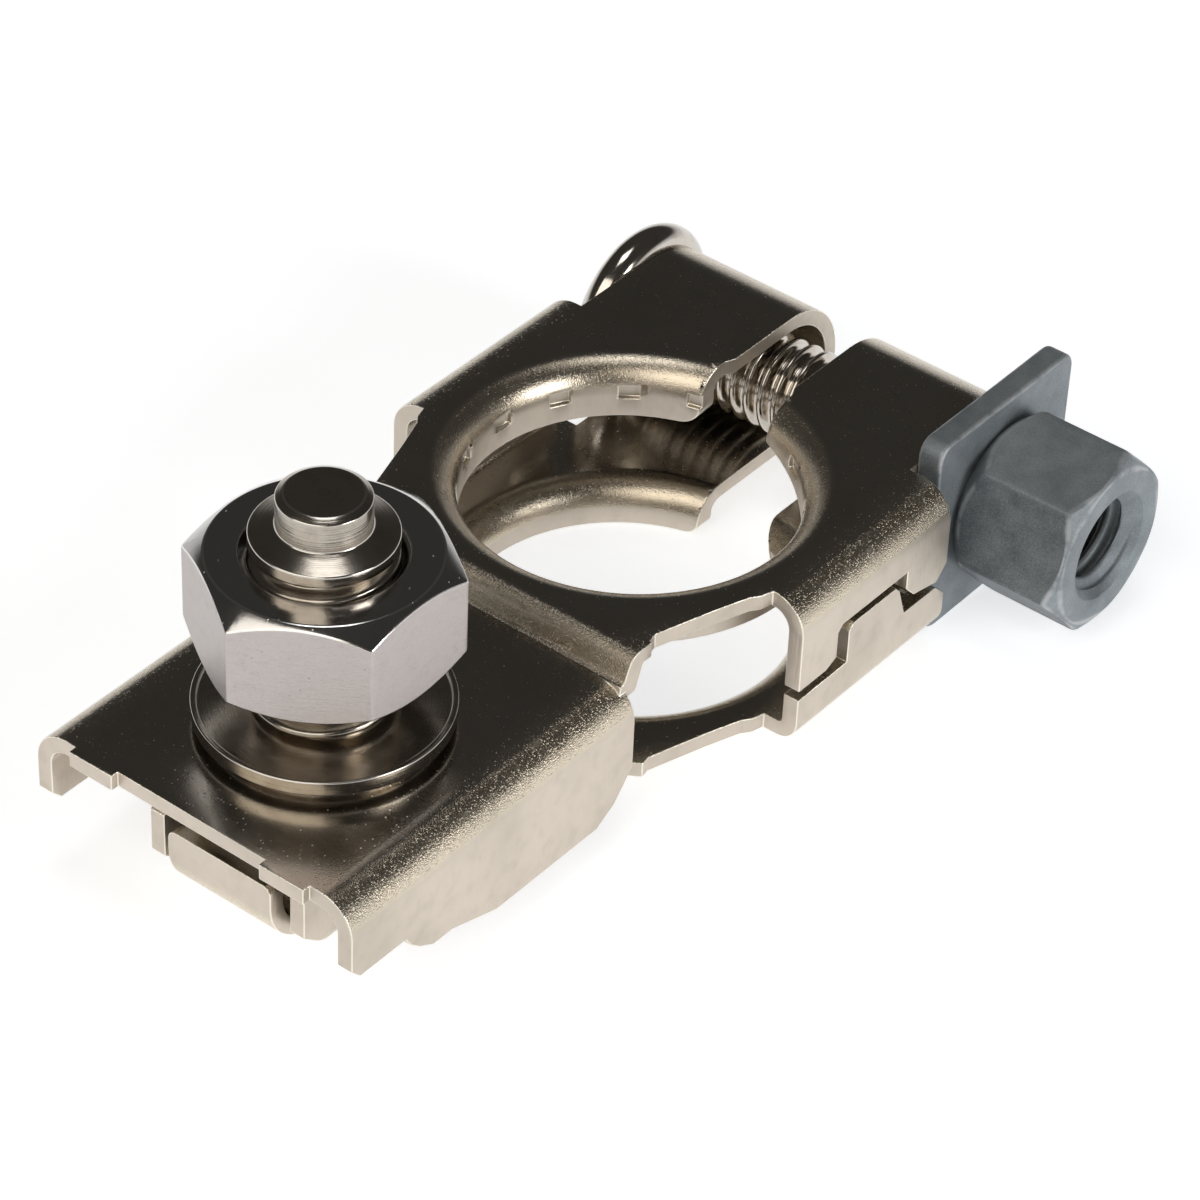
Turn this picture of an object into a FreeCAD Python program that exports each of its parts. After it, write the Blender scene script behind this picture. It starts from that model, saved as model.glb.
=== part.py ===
import FreeCAD, Part
import math
import os
import Sketcher

os.makedirs("parts", exist_ok=True)
doc = FreeCAD.newDocument("battery_terminal_clamp")

# Driving dimensions in mm. The origin is on the axis of the post bore at the lower rim,
# X points to the clamp nut, Y from the cable stud to the ears, Z up.
DIMENSIONS = (
    ("sheet", 1.0, "thickness of the pressed sheet"),
    ("bend_outer", 2.2, "outer radius of the upper bends"),
    ("bend_lower", 1.3, "outer radius of the bends between the walls and the lower plate"),
    ("ring_top", 11.25, "top of the upper plate around the bore"),
    ("ring_base", 1.6, "underside of the lower plate"),
    ("ring_half", 14.6, "half width over the side walls"),
    ("wall_front_y", -3.3, "front end of the side walls"),
    ("wall_rear_y", 10.4, "rear end of the side walls"),
    ("neck_front_half", 10.2, "half width of the upper plate at the step"),
    ("neck_waist_half", 9.9, "half width of the neck at its waist"),
    ("neck_waist_y", -10.4, "place of the waist"),
    ("neck_mid_half", 11.06, "half width of the neck beside the bore"),
    ("neck_mid_y", -6.7, "place of that width"),
    ("neck_root_half", 11.8, "half width of the neck near the side walls"),
    ("neck_root_y", -4.6, "place of that width"),
    ("neck_corner_half", 12.2, "half width at the rounded inner corner"),
    ("neck_corner_y", -4.05, "place of the rounded inner corner"),
    ("lower_corner_half", 10.0, "half width of the lower plate at its front corner"),
    ("lower_corner_y", -11.0, "place of that corner"),
    ("ear_half", 11.6, "end of the right-hand ear"),
    ("ear_left", 12.05, "end of the left-hand ear"),
    ("fold_y", 17.5, "axis of the ear folds, which is the axis of the clamp bolt"),
    ("slit_half", 2.1, "half width of the slit between the ears"),
    ("slit_mouth_half", 2.4, "half width of the slit at the upper collar"),
    ("slit_mouth_y", 11.6, "where the slit has its full mouth"),
    ("slit_throat_y", 12.2, "where the slit becomes parallel"),
    ("upper_rim_corner", 1.2, "rounding of the upper collar's left-hand end"),
    ("lower_rim_corner", 0.8, "rounding of the lower collar's left-hand end"),
    ("upper_trim_x", 7.2, "start of the slope up to the upper collar's right-hand end"),
    ("upper_trim_z", 9.2, "height of the rim at that end"),
    ("lower_trim_x", 4.6, "lower end of the slanted right-hand end of the lower collar"),
    ("lower_trim_z", 2.6, "upper end of that slant"),
    ("bore_radius", 9.65, "inner radius of both collars"),
    ("flare_radius", 2.0, "radius of the drawn edge into the bore"),
    ("collar_back", 11.0, "outer radius of both collars"),
    ("upper_rim_z", 7.85, "lower rim of the upper collar"),
    ("groove_count", 15.0, "grooves round the upper collar"),
    ("groove_turn", 9.0, "direction of one groove from X, degrees"),
    ("groove_width", 1.3, "width of one groove"),
    ("groove_depth", 0.3, "depth of one groove"),
    ("groove_foot_z", 9.05, "lower end of the grooves, above the smooth rim"),
    ("groove_top_z", 9.85, "upper end of the grooves"),
    ("step_top_y", -12.7, "top edge of the step"),
    ("step_foot_y", -13.3, "foot of the step on top"),
    ("step_under_top_y", -11.7, "upper end of the step on the underside"),
    ("step_under_foot_y", -12.3, "lower end of the step on the underside"),
    ("step_bend_top", 1.2, "rounding of the step's top edge"),
    ("step_bend_foot", 0.5, "rounding of the step's foot"),
    ("step_overlap", 0.7, "flat end of the step inside the upper plate"),
    ("tail_top", 9.7, "top of the tail"),
    ("tail_half", 10.95, "half width over the flanges"),
    ("flange_rear_y", -13.2, "rear edge of the flanges"),
    ("flange_front_y", -36.0, "front edge of the flanges"),
    ("flange_foot_z", 1.8, "lowest edge of the flanges"),
    ("tab_front_y", -36.5, "front edge of the two front tabs"),
    ("tab_outer_half", 8.1, "outer side of the front tabs"),
    ("tab_inner_half", 5.1, "inner side of the front tabs"),
    ("toe_corner_z", 5.4, "front lower corner of the flange"),
    ("toe_y", -35.35, "end of the front corner cut"),
    ("toe_z", 4.75, "raised front part of the flange edge"),
    ("lug_front_y", -31.8, "front of the rounded lug"),
    ("lug_side_y", -31.4, "side of the lug"),
    ("lug_side_z", 4.1, "height at its side"),
    ("lug_turn_y", -30.7, "rounding of the lug"),
    ("lug_turn_z", 3.5, "height at that rounding"),
    ("lug_foot_y", -29.6, "start of the lug foot"),
    ("lug_foot_z", 2.9, "lug foot"),
    ("ramp_front_y", -28.1, "front of the sloping edge"),
    ("ramp_rear_y", -24.5, "rear of the sloping edge"),
    ("heel_front_y", -16.1, "start of the rounded rear lower corner"),
    ("heel_low_y", -14.66, "lower part of that corner"),
    ("heel_low_z", 2.65, "its height"),
    ("heel_mid_y", -13.84, "middle part of that corner"),
    ("heel_mid_z", 3.56, "its height"),
    ("heel_top_y", -13.3, "upper part of that corner"),
    ("heel_top_z", 4.3, "its height"),
    ("tray_base", 0.5, "underside of the tray's floor"),
    ("tray_half", 5.4, "half width of the tray under the tail"),
    ("tray_bend", 1.3, "outer radius of the tray's lower bends"),
    ("tray_top", 8.3, "top of the tray walls"),
    ("tray_front_y", -33.4, "front end of the tray walls"),
    ("tray_front_z", 5.3, "top of the tray walls at the front"),
    ("tray_slope_y", -29.0, "where the tray walls reach full height"),
    ("tray_keel_z", 2.5, "lower corner of the tray walls at the front"),
    ("tray_chin_y", -32.3, "middle of the slope up to that corner"),
    ("tray_chin_z", 1.6, "height of that place"),
    ("tray_rear_y", -16.2, "rear end of the tray walls, foot of the step to the lower plate"),
    ("tray_step_y", -15.4, "top of that step"),
    ("tray_root_y", -14.0, "where the lower plate starts to widen"),
    ("lip_half", 3.6, "half width of the lip that closes the tray"),
    ("lip_front_y", -34.0, "front face of the lip"),
    ("lip_top", 5.3, "top of the lip"),
    ("lip_bend", 3.4, "outer radius of the lip's bend"),
    ("lip_corner", 0.6, "rounding of the lip's upper corners"),
    ("gap_front_y", -4.0, "start of the seam cut, clear of the walls"),
    ("gap_rear_y", 10.9, "end of the seam cut, clear of the walls"),
    ("gap_low_z", 4.7, "edge of the lower wall in front"),
    ("gap_high_z", 5.3, "edge of the upper wall in front"),
    ("hook_front_y", 0.1, "front of the raised tongue on the lower wall"),
    ("hook_rear_y", 6.5, "rear of the raised pocket in the upper wall"),
    ("hook_side_z", 6.6, "where its rear side starts to slope"),
    ("hook_foot_y", 7.3, "foot of that slope"),
    ("hook_foot_z", 5.75, "height of that foot"),
    ("hook_high_z", 7.8, "top of the pocket in the upper wall"),
    ("tongue_front_y", 1.15, "front side of the tongue"),
    ("tongue_rear_y", 5.85, "rear side of the tongue"),
    ("tongue_top_z", 7.3, "top of the tongue"),
    ("tongue_round", 0.4, "corner cut of the tongue and the pocket"),
    ("gap_rear_low_z", 4.95, "edge of the lower wall behind the tongue"),
    ("wall_round", 0.9, "corner cut at the rear ends of the walls"),
    ("stud_y", -25.7, "axis of the cable stud"),
    ("pedestal_radius", 6.2, "radius of the low round foot"),
    ("pedestal_height", 0.6, "height of the foot over the tail"),
    ("disc_radius", 7.03, "radius of the seat disc"),
    ("disc_height", 0.9, "thickness of the seat disc"),
    ("disc_rim", 0.3, "width of the raised rim of the disc"),
    ("disc_rim_height", 0.12, "height of that rim"),
    ("stud_radius", 3.95, "thread of the cable stud over its crests"),
    ("stud_thread_end", 22.17, "upper end of the thread"),
    ("stud_cone_end", 22.58, "upper end of the cone"),
    ("stud_tip_radius", 2.53, "radius of the turned tip"),
    ("stud_tip_edge", 24.34, "lower edge of the tip chamfer"),
    ("stud_tip_end", 24.58, "end of the stud"),
    ("stud_tip_flat", 2.11, "radius of the end face"),
    ("stud_square", 8.6, "square body below the disc, across flats"),
    ("stud_square_chamfer", 0.7, "chamfer at its lower end"),
    ("tenon_radius", 3.0, "riveted tenon through the tray floor"),
    ("rivet_sink", 0.6, "countersink that the tenon is riveted into, flush with the floor"),
    ("fixed_gap", 0.05, "clearance of the stud in its holes"),
    ("thread_gap", 0.05, "running clearance of a nut over the crests"),
    ("stud_nut_flats", 13.0, "stud nut across flats"),
    ("stud_nut_base", 14.5, "lower face of the stud nut"),
    ("stud_nut_height", 6.4, "height of the stud nut"),
    ("stud_nut_turn", 30.0, "direction of one of its corners from X, degrees"),
    ("stud_nut_face", 6.2, "radius of its end faces"),
    ("stud_nut_drop", 0.95, "height of its corner chamfers"),
    ("stud_nut_sink", 0.45, "countersink of its bore"),
    ("bolt_z", 6.4, "height of the clamp bolt"),
    ("bolt_radius", 2.95, "thread of the clamp bolt over its crests"),
    ("bolt_end_x", 18.6, "end of the clamp bolt inside its nut"),
    ("bolt_end_chamfer", 0.6, "chamfer of that end"),
    ("head_radius", 5.77, "radius of the round head"),
    ("head_edge", 1.06, "radius of the head's rounded edge"),
    ("head_height", 2.95, "height of the domed head"),
    ("neck_radius", 3.7, "rounded side of the neck under the head"),
    ("neck_flat", 3.0, "flat side of the neck from the bolt axis"),
    ("neck_length", 2.0, "length of the neck"),
    ("washer_side", 13.0, "side of the square washer"),
    ("washer_thickness", 1.6, "thickness of the washer"),
    ("washer_hole", 3.25, "radius of its hole"),
    ("washer_corner", 1.0, "radius of its corners"),
    ("clamp_nut_flats", 10.0, "clamp nut across flats"),
    ("clamp_nut_length", 7.6, "length of the clamp nut"),
    ("clamp_nut_turn", 12.8, "direction of one of its corners from Y, degrees"),
    ("clamp_nut_seat", 4.6, "radius of its seat face"),
    ("clamp_nut_seat_drop", 1.35, "length of the corner chamfers at the seat"),
    ("clamp_nut_face", 4.8, "radius of its outer end face"),
    ("clamp_nut_face_drop", 0.6, "length of the corner chamfers at the outer end"),
    ("clamp_nut_sink", 0.4, "countersink of its bore"),
)

sheet = doc.addObject("Spreadsheet::Sheet", "Sizes")
for row, (alias, value, note) in enumerate(DIMENSIONS, start=1):
    sheet.set(f"A{row}", alias)
    sheet.set(f"B{row}", f"{value}")
    sheet.set(f"C{row}", note)
    sheet.setAlias(f"B{row}", alias)
doc.recompute()


class Size:
    """A dimension together with the sheet formula that drives it."""

    def __init__(self, value, formula):
        self.value = value
        self.formula = formula

    def join(self, other, sign, value):
        return Size(value, f"({self.formula} {sign} {as_size(other).formula})")

    def __add__(self, other):
        return self.join(other, "+", self.value + as_size(other).value)

    def __radd__(self, other):
        return as_size(other) + self

    def __sub__(self, other):
        return self.join(other, "-", self.value - as_size(other).value)

    def __mul__(self, other):
        return self.join(other, "*", self.value * as_size(other).value)

    def __truediv__(self, other):
        return self.join(other, "/", self.value / as_size(other).value)

    def __neg__(self):
        return Size(-self.value, f"(0 - {self.formula})")

    def root(self):
        return Size(math.sqrt(self.value), f"sqrt({self.formula})")


def as_size(number):
    if isinstance(number, Size):
        return number
    return Size(float(number), f"({float(number)})")


class SizeTable:
    """The sheet's dimensions, each under its own name."""

    def __init__(self, rows):
        for alias, value, _ in rows:
            setattr(self, alias, Size(value, f"Sizes.{alias}"))


dim = SizeTable(DIMENSIONS)
ON_AXIS = 0
HORIZONTAL_AXIS = -1
VERTICAL_AXIS = -2
START, END, CENTRE = 1, 2, 3
LEFT_TURN, RIGHT_TURN = True, False


def drive(item, path, size):
    item.setExpression(path, as_size(size).formula)


def tie_point(item, number, vertex, across, up):
    """Hold one point of a sketch at its two coordinates."""
    for size, kind, axis in ((across, "DistanceX", VERTICAL_AXIS), (up, "DistanceY", HORIZONTAL_AXIS)):
        if size is None:
            continue
        if not isinstance(size, Size):
            item.addConstraint(Sketcher.Constraint("PointOnObject", number, vertex, axis))
            continue
        tie = item.addConstraint(Sketcher.Constraint(kind, -1, 1, number, vertex, size.value))
        item.renameConstraint(tie, f"tie{tie}")
        drive(item, f"Constraints.tie{tie}", size)


def flat_vector(across, up):
    return FreeCAD.Vector(as_size(across).value, as_size(up).value, 0)


def draw_loop(item, corners):
    """Draw a closed outline. A corner is (across, up), or (across, up, centre, turn) after an arc."""
    first = item.GeometryCount
    ends = []
    for index, corner in enumerate(corners):
        start = flat_vector(*corners[index - 1][:2])
        end = flat_vector(*corner[:2])
        if len(corner) == 2:
            item.addGeometry(Part.LineSegment(start, end), False)
            ends.append((START, END))
            continue
        centre = flat_vector(*corner[2])
        radius = (start - centre).Length
        ring = Part.Circle(centre, FreeCAD.Vector(0, 0, 1), radius)
        low, high = (start, end) if corner[3] else (end, start)
        angles = [math.atan2((p - centre).y, (p - centre).x) for p in (low, high)]
        if angles[1] < angles[0]:
            angles[1] += 2 * math.pi
        item.addGeometry(Part.ArcOfCircle(ring, *angles), False)
        ends.append((START, END) if corner[3] else (END, START))
    for index, corner in enumerate(corners):
        after = (index + 1) % len(corners)
        here = (first + index, ends[index][1])
        there = (first + after, ends[after][0])
        item.addConstraint(Sketcher.Constraint("Coincident", *here, *there))
        tie_point(item, *here, *corner[:2])
        if len(corner) > 2:
            tie_point(item, first + index, CENTRE, corner[2][0], None)


def draw_circle(item, radius, across=ON_AXIS, up=ON_AXIS):
    ring = Part.Circle(flat_vector(across, up), FreeCAD.Vector(0, 0, 1), radius.value)
    number = item.addGeometry(ring, False)
    tie_point(item, number, CENTRE, across, up)
    tie = item.addConstraint(Sketcher.Constraint("Radius", number, radius.value))
    item.renameConstraint(tie, f"tie{tie}")
    drive(item, f"Constraints.tie{tie}", radius)


def both_sides(half):
    """Close an outline that is given for its right half only."""
    return list(half) + [(-across, up) for across, up in reversed(half)]


def box_loop(left, right, low, high):
    return [(left, low), (right, low), (right, high), (left, high)]


class Piece:
    """One solid piece: a body, its sketches and its features."""

    def __init__(self, name, place=(ON_AXIS, ON_AXIS, ON_AXIS), axis=None, turn=None):
        self.body = doc.addObject("PartDesign::Body", name)
        self.body.Label = name
        self.body.AllowCompound = True
        rotation = FreeCAD.Rotation()
        if axis is not None:
            rotation = FreeCAD.Rotation(FreeCAD.Vector(*axis), turn.value)
        self.body.Placement = FreeCAD.Placement(FreeCAD.Vector(), rotation)
        for letter, size in zip("xyz", place):
            if isinstance(size, Size):
                drive(self.body, f"Placement.Base.{letter}", size)
        doc.recompute()

    def origin(self, role):
        return next(item for item in self.body.Origin.OriginFeatures if item.Role == role)

    def sketch(self, plane, name, loops=(), circles=(), level=None, turn=None):
        item = self.body.newObject("Sketcher::SketchObject", name)
        item.AttachmentSupport = [(self.origin(plane), "")]
        item.MapMode = "FlatFace"
        if turn is not None:
            rotation = FreeCAD.Rotation(FreeCAD.Vector(0, 0, 1), turn.value)
            item.AttachmentOffset = FreeCAD.Placement(FreeCAD.Vector(), rotation)
        if level is not None:
            drive(item, "AttachmentOffset.Base.z", level)
        for loop in loops:
            draw_loop(item, loop)
        for circle in circles:
            draw_circle(item, *circle)
        doc.recompute()
        if not item.FullyConstrained:
            raise ValueError(f"{name} is not fully constrained")
        return item

    def feature(self, kind, name, profile, adds):
        before = self.body.Shape.Volume if self.body.Tip else 0
        item = self.body.newObject(f"PartDesign::{kind}", name)
        item.Profile = (profile, [""])
        self.body.Tip = item
        self.settle = (name, before, adds)
        return item

    def close(self):
        """Recompute and see that the last feature changed the volume the right way."""
        doc.recompute()
        name, before, adds = self.settle
        change = self.body.Shape.Volume - before
        if change * (1 if adds else -1) <= 0:
            raise ValueError(f"{name} changes the volume by {change}")

    def pad(self, name, profile, length, midplane=False):
        item = self.feature("Pad", name, profile, True)
        drive(item, "Length", length)
        item.SideType = "Symmetric" if midplane else "One side"
        self.close()

    def pocket(self, name, profile, length=None, midplane=False):
        item = self.feature("Pocket", name, profile, False)
        if length is None:
            item.Type = "ThroughAll"
        else:
            drive(item, "Length", length)
        item.SideType = "Symmetric" if midplane else "One side"
        self.close()

    def turned(self, name, profile, axis, adds=True):
        item = self.feature("Revolution" if adds else "Groove", name, profile, adds)
        item.ReferenceAxis = (self.origin(axis), [""])
        item.Angle = 360
        self.close()

    def repeat(self, name, axis, count):
        """Repeat the last feature evenly round an axis."""
        item = self.body.newObject("PartDesign::PolarPattern", name)
        item.Originals = [self.body.Tip]
        item.Axis = (self.origin(axis), [""])
        item.Angle = 360
        drive(item, "Occurrences", count)
        self.body.Tip = item
        doc.recompute()

    def dress(self, kind, name, amount, test):
        """Round or chamfer the edges of the last feature that pass a test."""
        base = self.body.Tip
        names = [f"Edge{i}" for i, edge in enumerate(base.Shape.Edges, start=1) if test(edge)]
        if not names:
            raise ValueError(f"{name} finds no edges")
        item = self.body.newObject(f"PartDesign::{kind}", name)
        item.Base = (base, names)
        drive(item, "Radius" if kind == "Fillet" else "Size", amount)
        self.body.Tip = item
        doc.recompute()

    def fillet(self, name, radius, test):
        self.dress("Fillet", name, radius, test)

    def chamfer(self, name, amount, test):
        self.dress("Chamfer", name, amount, test)


def near(value, size, slack=0.02):
    return abs(value - as_size(size).value) < slack


def runs_along(edge, letter):
    """True for a straight edge parallel to one axis."""
    if not isinstance(edge.Curve, Part.Line):
        return False
    return abs(getattr(edge.Curve.Direction, letter)) > 0.999


def edge_at(letter, left_only=False, **places):
    """Make a test for edges along one axis whose middle is at the given distances from the axes."""

    def test(edge):
        middle = edge.CenterOfMass
        if not runs_along(edge, letter) or (left_only and middle.x > 0):
            return False
        return all(near(abs(getattr(middle, key)), size) for key, size in places.items())

    return test


def bore_edge(radius, level=None):
    """Make a test for the circular edges of a bore, at one height if it is given."""

    def test(edge):
        if not isinstance(edge.Curve, Part.Circle) or not near(edge.Curve.Radius, radius):
            return False
        return level is None or near(edge.CenterOfMass.z, level)

    return test


# Clamp body: a closed ring of two plates and two side walls
clamp = Piece("clamp_body")
ring_under = dim.ring_top - dim.sheet
floor_top = dim.ring_base + dim.sheet
ring_inner = dim.ring_half - dim.sheet
bend_inner = dim.bend_outer - dim.sheet
ring_outline = box_loop(-dim.ring_half, dim.ring_half, dim.ring_base, dim.ring_top)
ring_hollow = box_loop(-ring_inner, ring_inner, floor_top, ring_under)
ring = clamp.sketch("XZ_Plane", "ring_outline", [ring_outline, ring_hollow], level=-dim.wall_rear_y)
clamp.pad("ring_walls", ring, dim.wall_rear_y - dim.wall_front_y)
lower_inner = dim.bend_lower - dim.sheet
clamp.fillet("upper_bends_outside", dim.bend_outer, edge_at("y", x=dim.ring_half, z=dim.ring_top))
clamp.fillet("lower_bends_outside", dim.bend_lower, edge_at("y", x=dim.ring_half, z=dim.ring_base))
clamp.fillet("upper_bends_inside", bend_inner, edge_at("y", x=ring_inner, z=ring_under))
clamp.fillet("lower_bends_inside", lower_inner, edge_at("y", x=ring_inner, z=floor_top))

# Upper plate round the bore, with the neck between the two side windows
flat_half = dim.ring_half - dim.bend_outer
neck_side = [
    (dim.neck_waist_half, dim.neck_waist_y),
    (dim.neck_mid_half, dim.neck_mid_y),
    (dim.neck_root_half, dim.neck_root_y),
    (dim.neck_corner_half, dim.neck_corner_y),
    (flat_half, dim.wall_front_y),
    (flat_half, dim.wall_rear_y),
]
upper_half = [(dim.neck_front_half, dim.step_under_top_y)] + neck_side
upper = clamp.sketch("XY_Plane", "upper_outline", [both_sides(upper_half)], level=ring_under)
clamp.pad("upper_plate", upper, dim.sheet)

# Ears: both plates run on and meet in one fold round the clamp bolt
fold_centre = (dim.fold_y, (dim.ring_top + dim.ring_base) / 2)
fold_loop = [
    (dim.wall_rear_y - dim.sheet, dim.ring_base),
    (dim.fold_y, dim.ring_base),
    (dim.fold_y, dim.ring_top, fold_centre, LEFT_TURN),
    (dim.wall_rear_y - dim.sheet, dim.ring_top),
    (dim.wall_rear_y - dim.sheet, ring_under),
    (dim.fold_y, ring_under),
    (dim.fold_y, floor_top, fold_centre, RIGHT_TURN),
    (dim.wall_rear_y - dim.sheet, floor_top),
]
fold = clamp.sketch("YZ_Plane", "fold_outline", [fold_loop], level=-dim.ear_left)
clamp.pad("ear_folds", fold, dim.ear_left + dim.ear_half)

# Tail with its two side flanges
tail_under = dim.tail_top - dim.sheet
tail_inner = dim.tail_half - dim.sheet
tail_loop = [
    (dim.tail_half, dim.flange_foot_z),
    (dim.tail_half, dim.tail_top),
    (-dim.tail_half, dim.tail_top),
    (-dim.tail_half, dim.flange_foot_z),
    (-tail_inner, dim.flange_foot_z),
    (-tail_inner, tail_under),
    (tail_inner, tail_under),
    (tail_inner, dim.flange_foot_z),
]
tail = clamp.sketch("XZ_Plane", "tail_outline", [tail_loop], level=-dim.flange_rear_y)
clamp.pad("tail_channel", tail, dim.flange_rear_y - dim.flange_front_y)
clamp.fillet("tail_bends_outside", dim.bend_outer, edge_at("y", x=dim.tail_half, z=dim.tail_top))
clamp.fillet("tail_bends_inside", bend_inner, edge_at("y", x=tail_inner, z=tail_under))
below = dim.flange_foot_z - dim.sheet
ahead = dim.flange_front_y - dim.sheet
behind = dim.flange_rear_y + dim.sheet / 5
front_cut = [
    (ahead, below),
    (dim.ramp_rear_y, below),
    (dim.ramp_rear_y, dim.flange_foot_z),
    (dim.ramp_front_y, dim.lug_foot_z),
    (dim.lug_foot_y, dim.lug_foot_z),
    (dim.lug_turn_y, dim.lug_turn_z),
    (dim.lug_side_y, dim.lug_side_z),
    (dim.lug_front_y, dim.toe_z),
    (dim.toe_y, dim.toe_z),
    (dim.flange_front_y, dim.toe_corner_z),
    (ahead, dim.toe_corner_z),
]
rear_cut = [
    (dim.heel_front_y, below),
    (behind, below),
    (behind, dim.heel_top_z),
    (dim.heel_top_y, dim.heel_top_z),
    (dim.heel_mid_y, dim.heel_mid_z),
    (dim.heel_low_y, dim.heel_low_z),
    (dim.heel_front_y, dim.flange_foot_z),
]
flange_edge = clamp.sketch("YZ_Plane", "flange_edge", [front_cut, rear_cut])
clamp.pocket("flange_shape", flange_edge, dim.tail_half * 3, midplane=True)
# Step down from the upper plate to the tail
step_drop = dim.ring_top - dim.tail_top
step_run = dim.step_top_y - dim.step_foot_y
step_slant = (step_drop * step_drop + step_run * step_run).root()
half_tangent = (step_slant - step_run) / step_drop
top_tangent = dim.step_bend_top * half_tangent
foot_tangent = dim.step_bend_foot * half_tangent
top_arc_y = dim.step_top_y + top_tangent
foot_arc_y = dim.step_foot_y - foot_tangent
top_arc_end = (
    dim.step_top_y - top_tangent * step_run / step_slant,
    dim.ring_top - top_tangent * step_drop / step_slant,
)
foot_arc_start = (
    dim.step_foot_y + foot_tangent * step_run / step_slant,
    dim.tail_top + foot_tangent * step_drop / step_slant,
)
step_loop = [
    (foot_arc_y, tail_under),
    (dim.step_under_foot_y, tail_under),
    (dim.step_under_top_y, ring_under),
    (dim.step_under_top_y + dim.step_overlap, ring_under),
    (dim.step_under_top_y + dim.step_overlap, dim.ring_top),
    (top_arc_y, dim.ring_top),
    top_arc_end + ((top_arc_y, dim.ring_top - dim.step_bend_top), LEFT_TURN),
    foot_arc_start,
    (foot_arc_y, dim.tail_top, (foot_arc_y, dim.tail_top + dim.step_bend_foot), RIGHT_TURN),
]
step = clamp.sketch("YZ_Plane", "step_outline", [step_loop])
clamp.pad("step", step, dim.neck_front_half * 2, midplane=True)

tab_root = dim.flange_front_y + dim.sheet / 5
tab_right = box_loop(dim.tab_inner_half, dim.tab_outer_half, dim.tab_front_y, tab_root)
tab_left = box_loop(-dim.tab_outer_half, -dim.tab_inner_half, dim.tab_front_y, tab_root)
tabs = clamp.sketch("XY_Plane", "tab_outline", [tab_right, tab_left], level=tail_under)
clamp.pad("front_tabs", tabs, dim.sheet)

# Lower plate with the tray that runs forward from it under the tail
tray_flat = dim.tray_half - dim.tray_bend
lower_half = [
    (tray_flat, dim.tray_step_y),
    (dim.tray_half, dim.tray_root_y),
    (dim.lower_corner_half, dim.lower_corner_y),
] + neck_side
lower = clamp.sketch("XY_Plane", "lower_outline", [both_sides(lower_half)], level=dim.ring_base)
clamp.pad("lower_plate", lower, dim.sheet)
tray_floor = dim.tray_base + dim.sheet
tray_inner = dim.tray_half - dim.sheet
bend_z = dim.tray_base + dim.tray_bend
right_bend = (tray_flat, bend_z)
left_bend = (-tray_flat, bend_z)
tray_loop = [
    (-tray_flat, dim.tray_base, left_bend, LEFT_TURN),
    (tray_flat, dim.tray_base),
    (dim.tray_half, bend_z, right_bend, LEFT_TURN),
    (dim.tray_half, dim.tray_top),
    (tray_inner, dim.tray_top),
    (tray_inner, bend_z),
    (tray_flat, tray_floor, right_bend, RIGHT_TURN),
    (-tray_flat, tray_floor),
    (-tray_inner, bend_z, left_bend, RIGHT_TURN),
    (-tray_inner, dim.tray_top),
    (-dim.tray_half, dim.tray_top),
    (-dim.tray_half, bend_z),
]
tray = clamp.sketch("XZ_Plane", "tray_outline", [tray_loop], level=-dim.tray_rear_y)
clamp.pad("tray_channel", tray, dim.tray_rear_y - dim.tray_front_y)
overlap = dim.sheet / 5
tray_step_loop = [
    (dim.tray_rear_y - overlap, dim.tray_base),
    (dim.tray_rear_y, dim.tray_base),
    (dim.tray_step_y, dim.ring_base),
    (dim.tray_step_y + overlap, dim.ring_base),
    (dim.tray_step_y + overlap, floor_top),
    (dim.tray_step_y, floor_top),
    (dim.tray_rear_y, tray_floor),
    (dim.tray_rear_y - overlap, tray_floor),
]
tray_step = clamp.sketch("YZ_Plane", "tray_step_outline", [tray_step_loop])
clamp.pad("tray_step", tray_step, tray_flat * 2, midplane=True)
lip_root = dim.lip_front_y + dim.lip_bend
tray_ahead = dim.tray_front_y - overlap
tray_over = dim.tray_top + overlap
wall_top_cut = [
    (tray_ahead, dim.tray_front_z),
    (dim.tray_front_y, dim.tray_front_z),
    (dim.tray_slope_y, dim.tray_top),
    (dim.tray_slope_y, tray_over),
    (tray_ahead, tray_over),
]
wall_foot_cut = [
    (tray_ahead, dim.tray_base - overlap),
    (lip_root, dim.tray_base - overlap),
    (lip_root, dim.tray_base),
    (dim.tray_chin_y, dim.tray_chin_z),
    (dim.tray_front_y, dim.tray_keel_z),
    (tray_ahead, dim.tray_keel_z),
]
tray_edge = clamp.sketch("YZ_Plane", "tray_edge", [wall_top_cut, wall_foot_cut])
clamp.pocket("tray_wall_shape", tray_edge, dim.tray_half * 2 + dim.sheet, midplane=True)
relief_loop = box_loop(-tray_flat, tray_flat, tray_ahead, lip_root)
relief = clamp.sketch("XY_Plane", "lip_relief_outline", [relief_loop], level=bend_z)
clamp.pocket("lip_relief", relief, dim.tray_bend)
lip_centre = (lip_root, dim.tray_base + dim.lip_bend)
lip_loop = [
    (lip_root + overlap, dim.tray_base),
    (lip_root + overlap, tray_floor),
    (lip_root, tray_floor),
    (dim.lip_front_y + dim.sheet, lip_centre[1], lip_centre, RIGHT_TURN),
    (dim.lip_front_y + dim.sheet, dim.lip_top),
    (dim.lip_front_y, dim.lip_top),
    (dim.lip_front_y, lip_centre[1]),
    (lip_root, dim.tray_base, lip_centre, LEFT_TURN),
]
lip = clamp.sketch("YZ_Plane", "lip_outline", [lip_loop])
clamp.pad("lip", lip, dim.lip_half * 2, midplane=True)
clamp.fillet("lip_corners", dim.lip_corner, edge_at("y", x=dim.lip_half, z=dim.lip_top))

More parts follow.
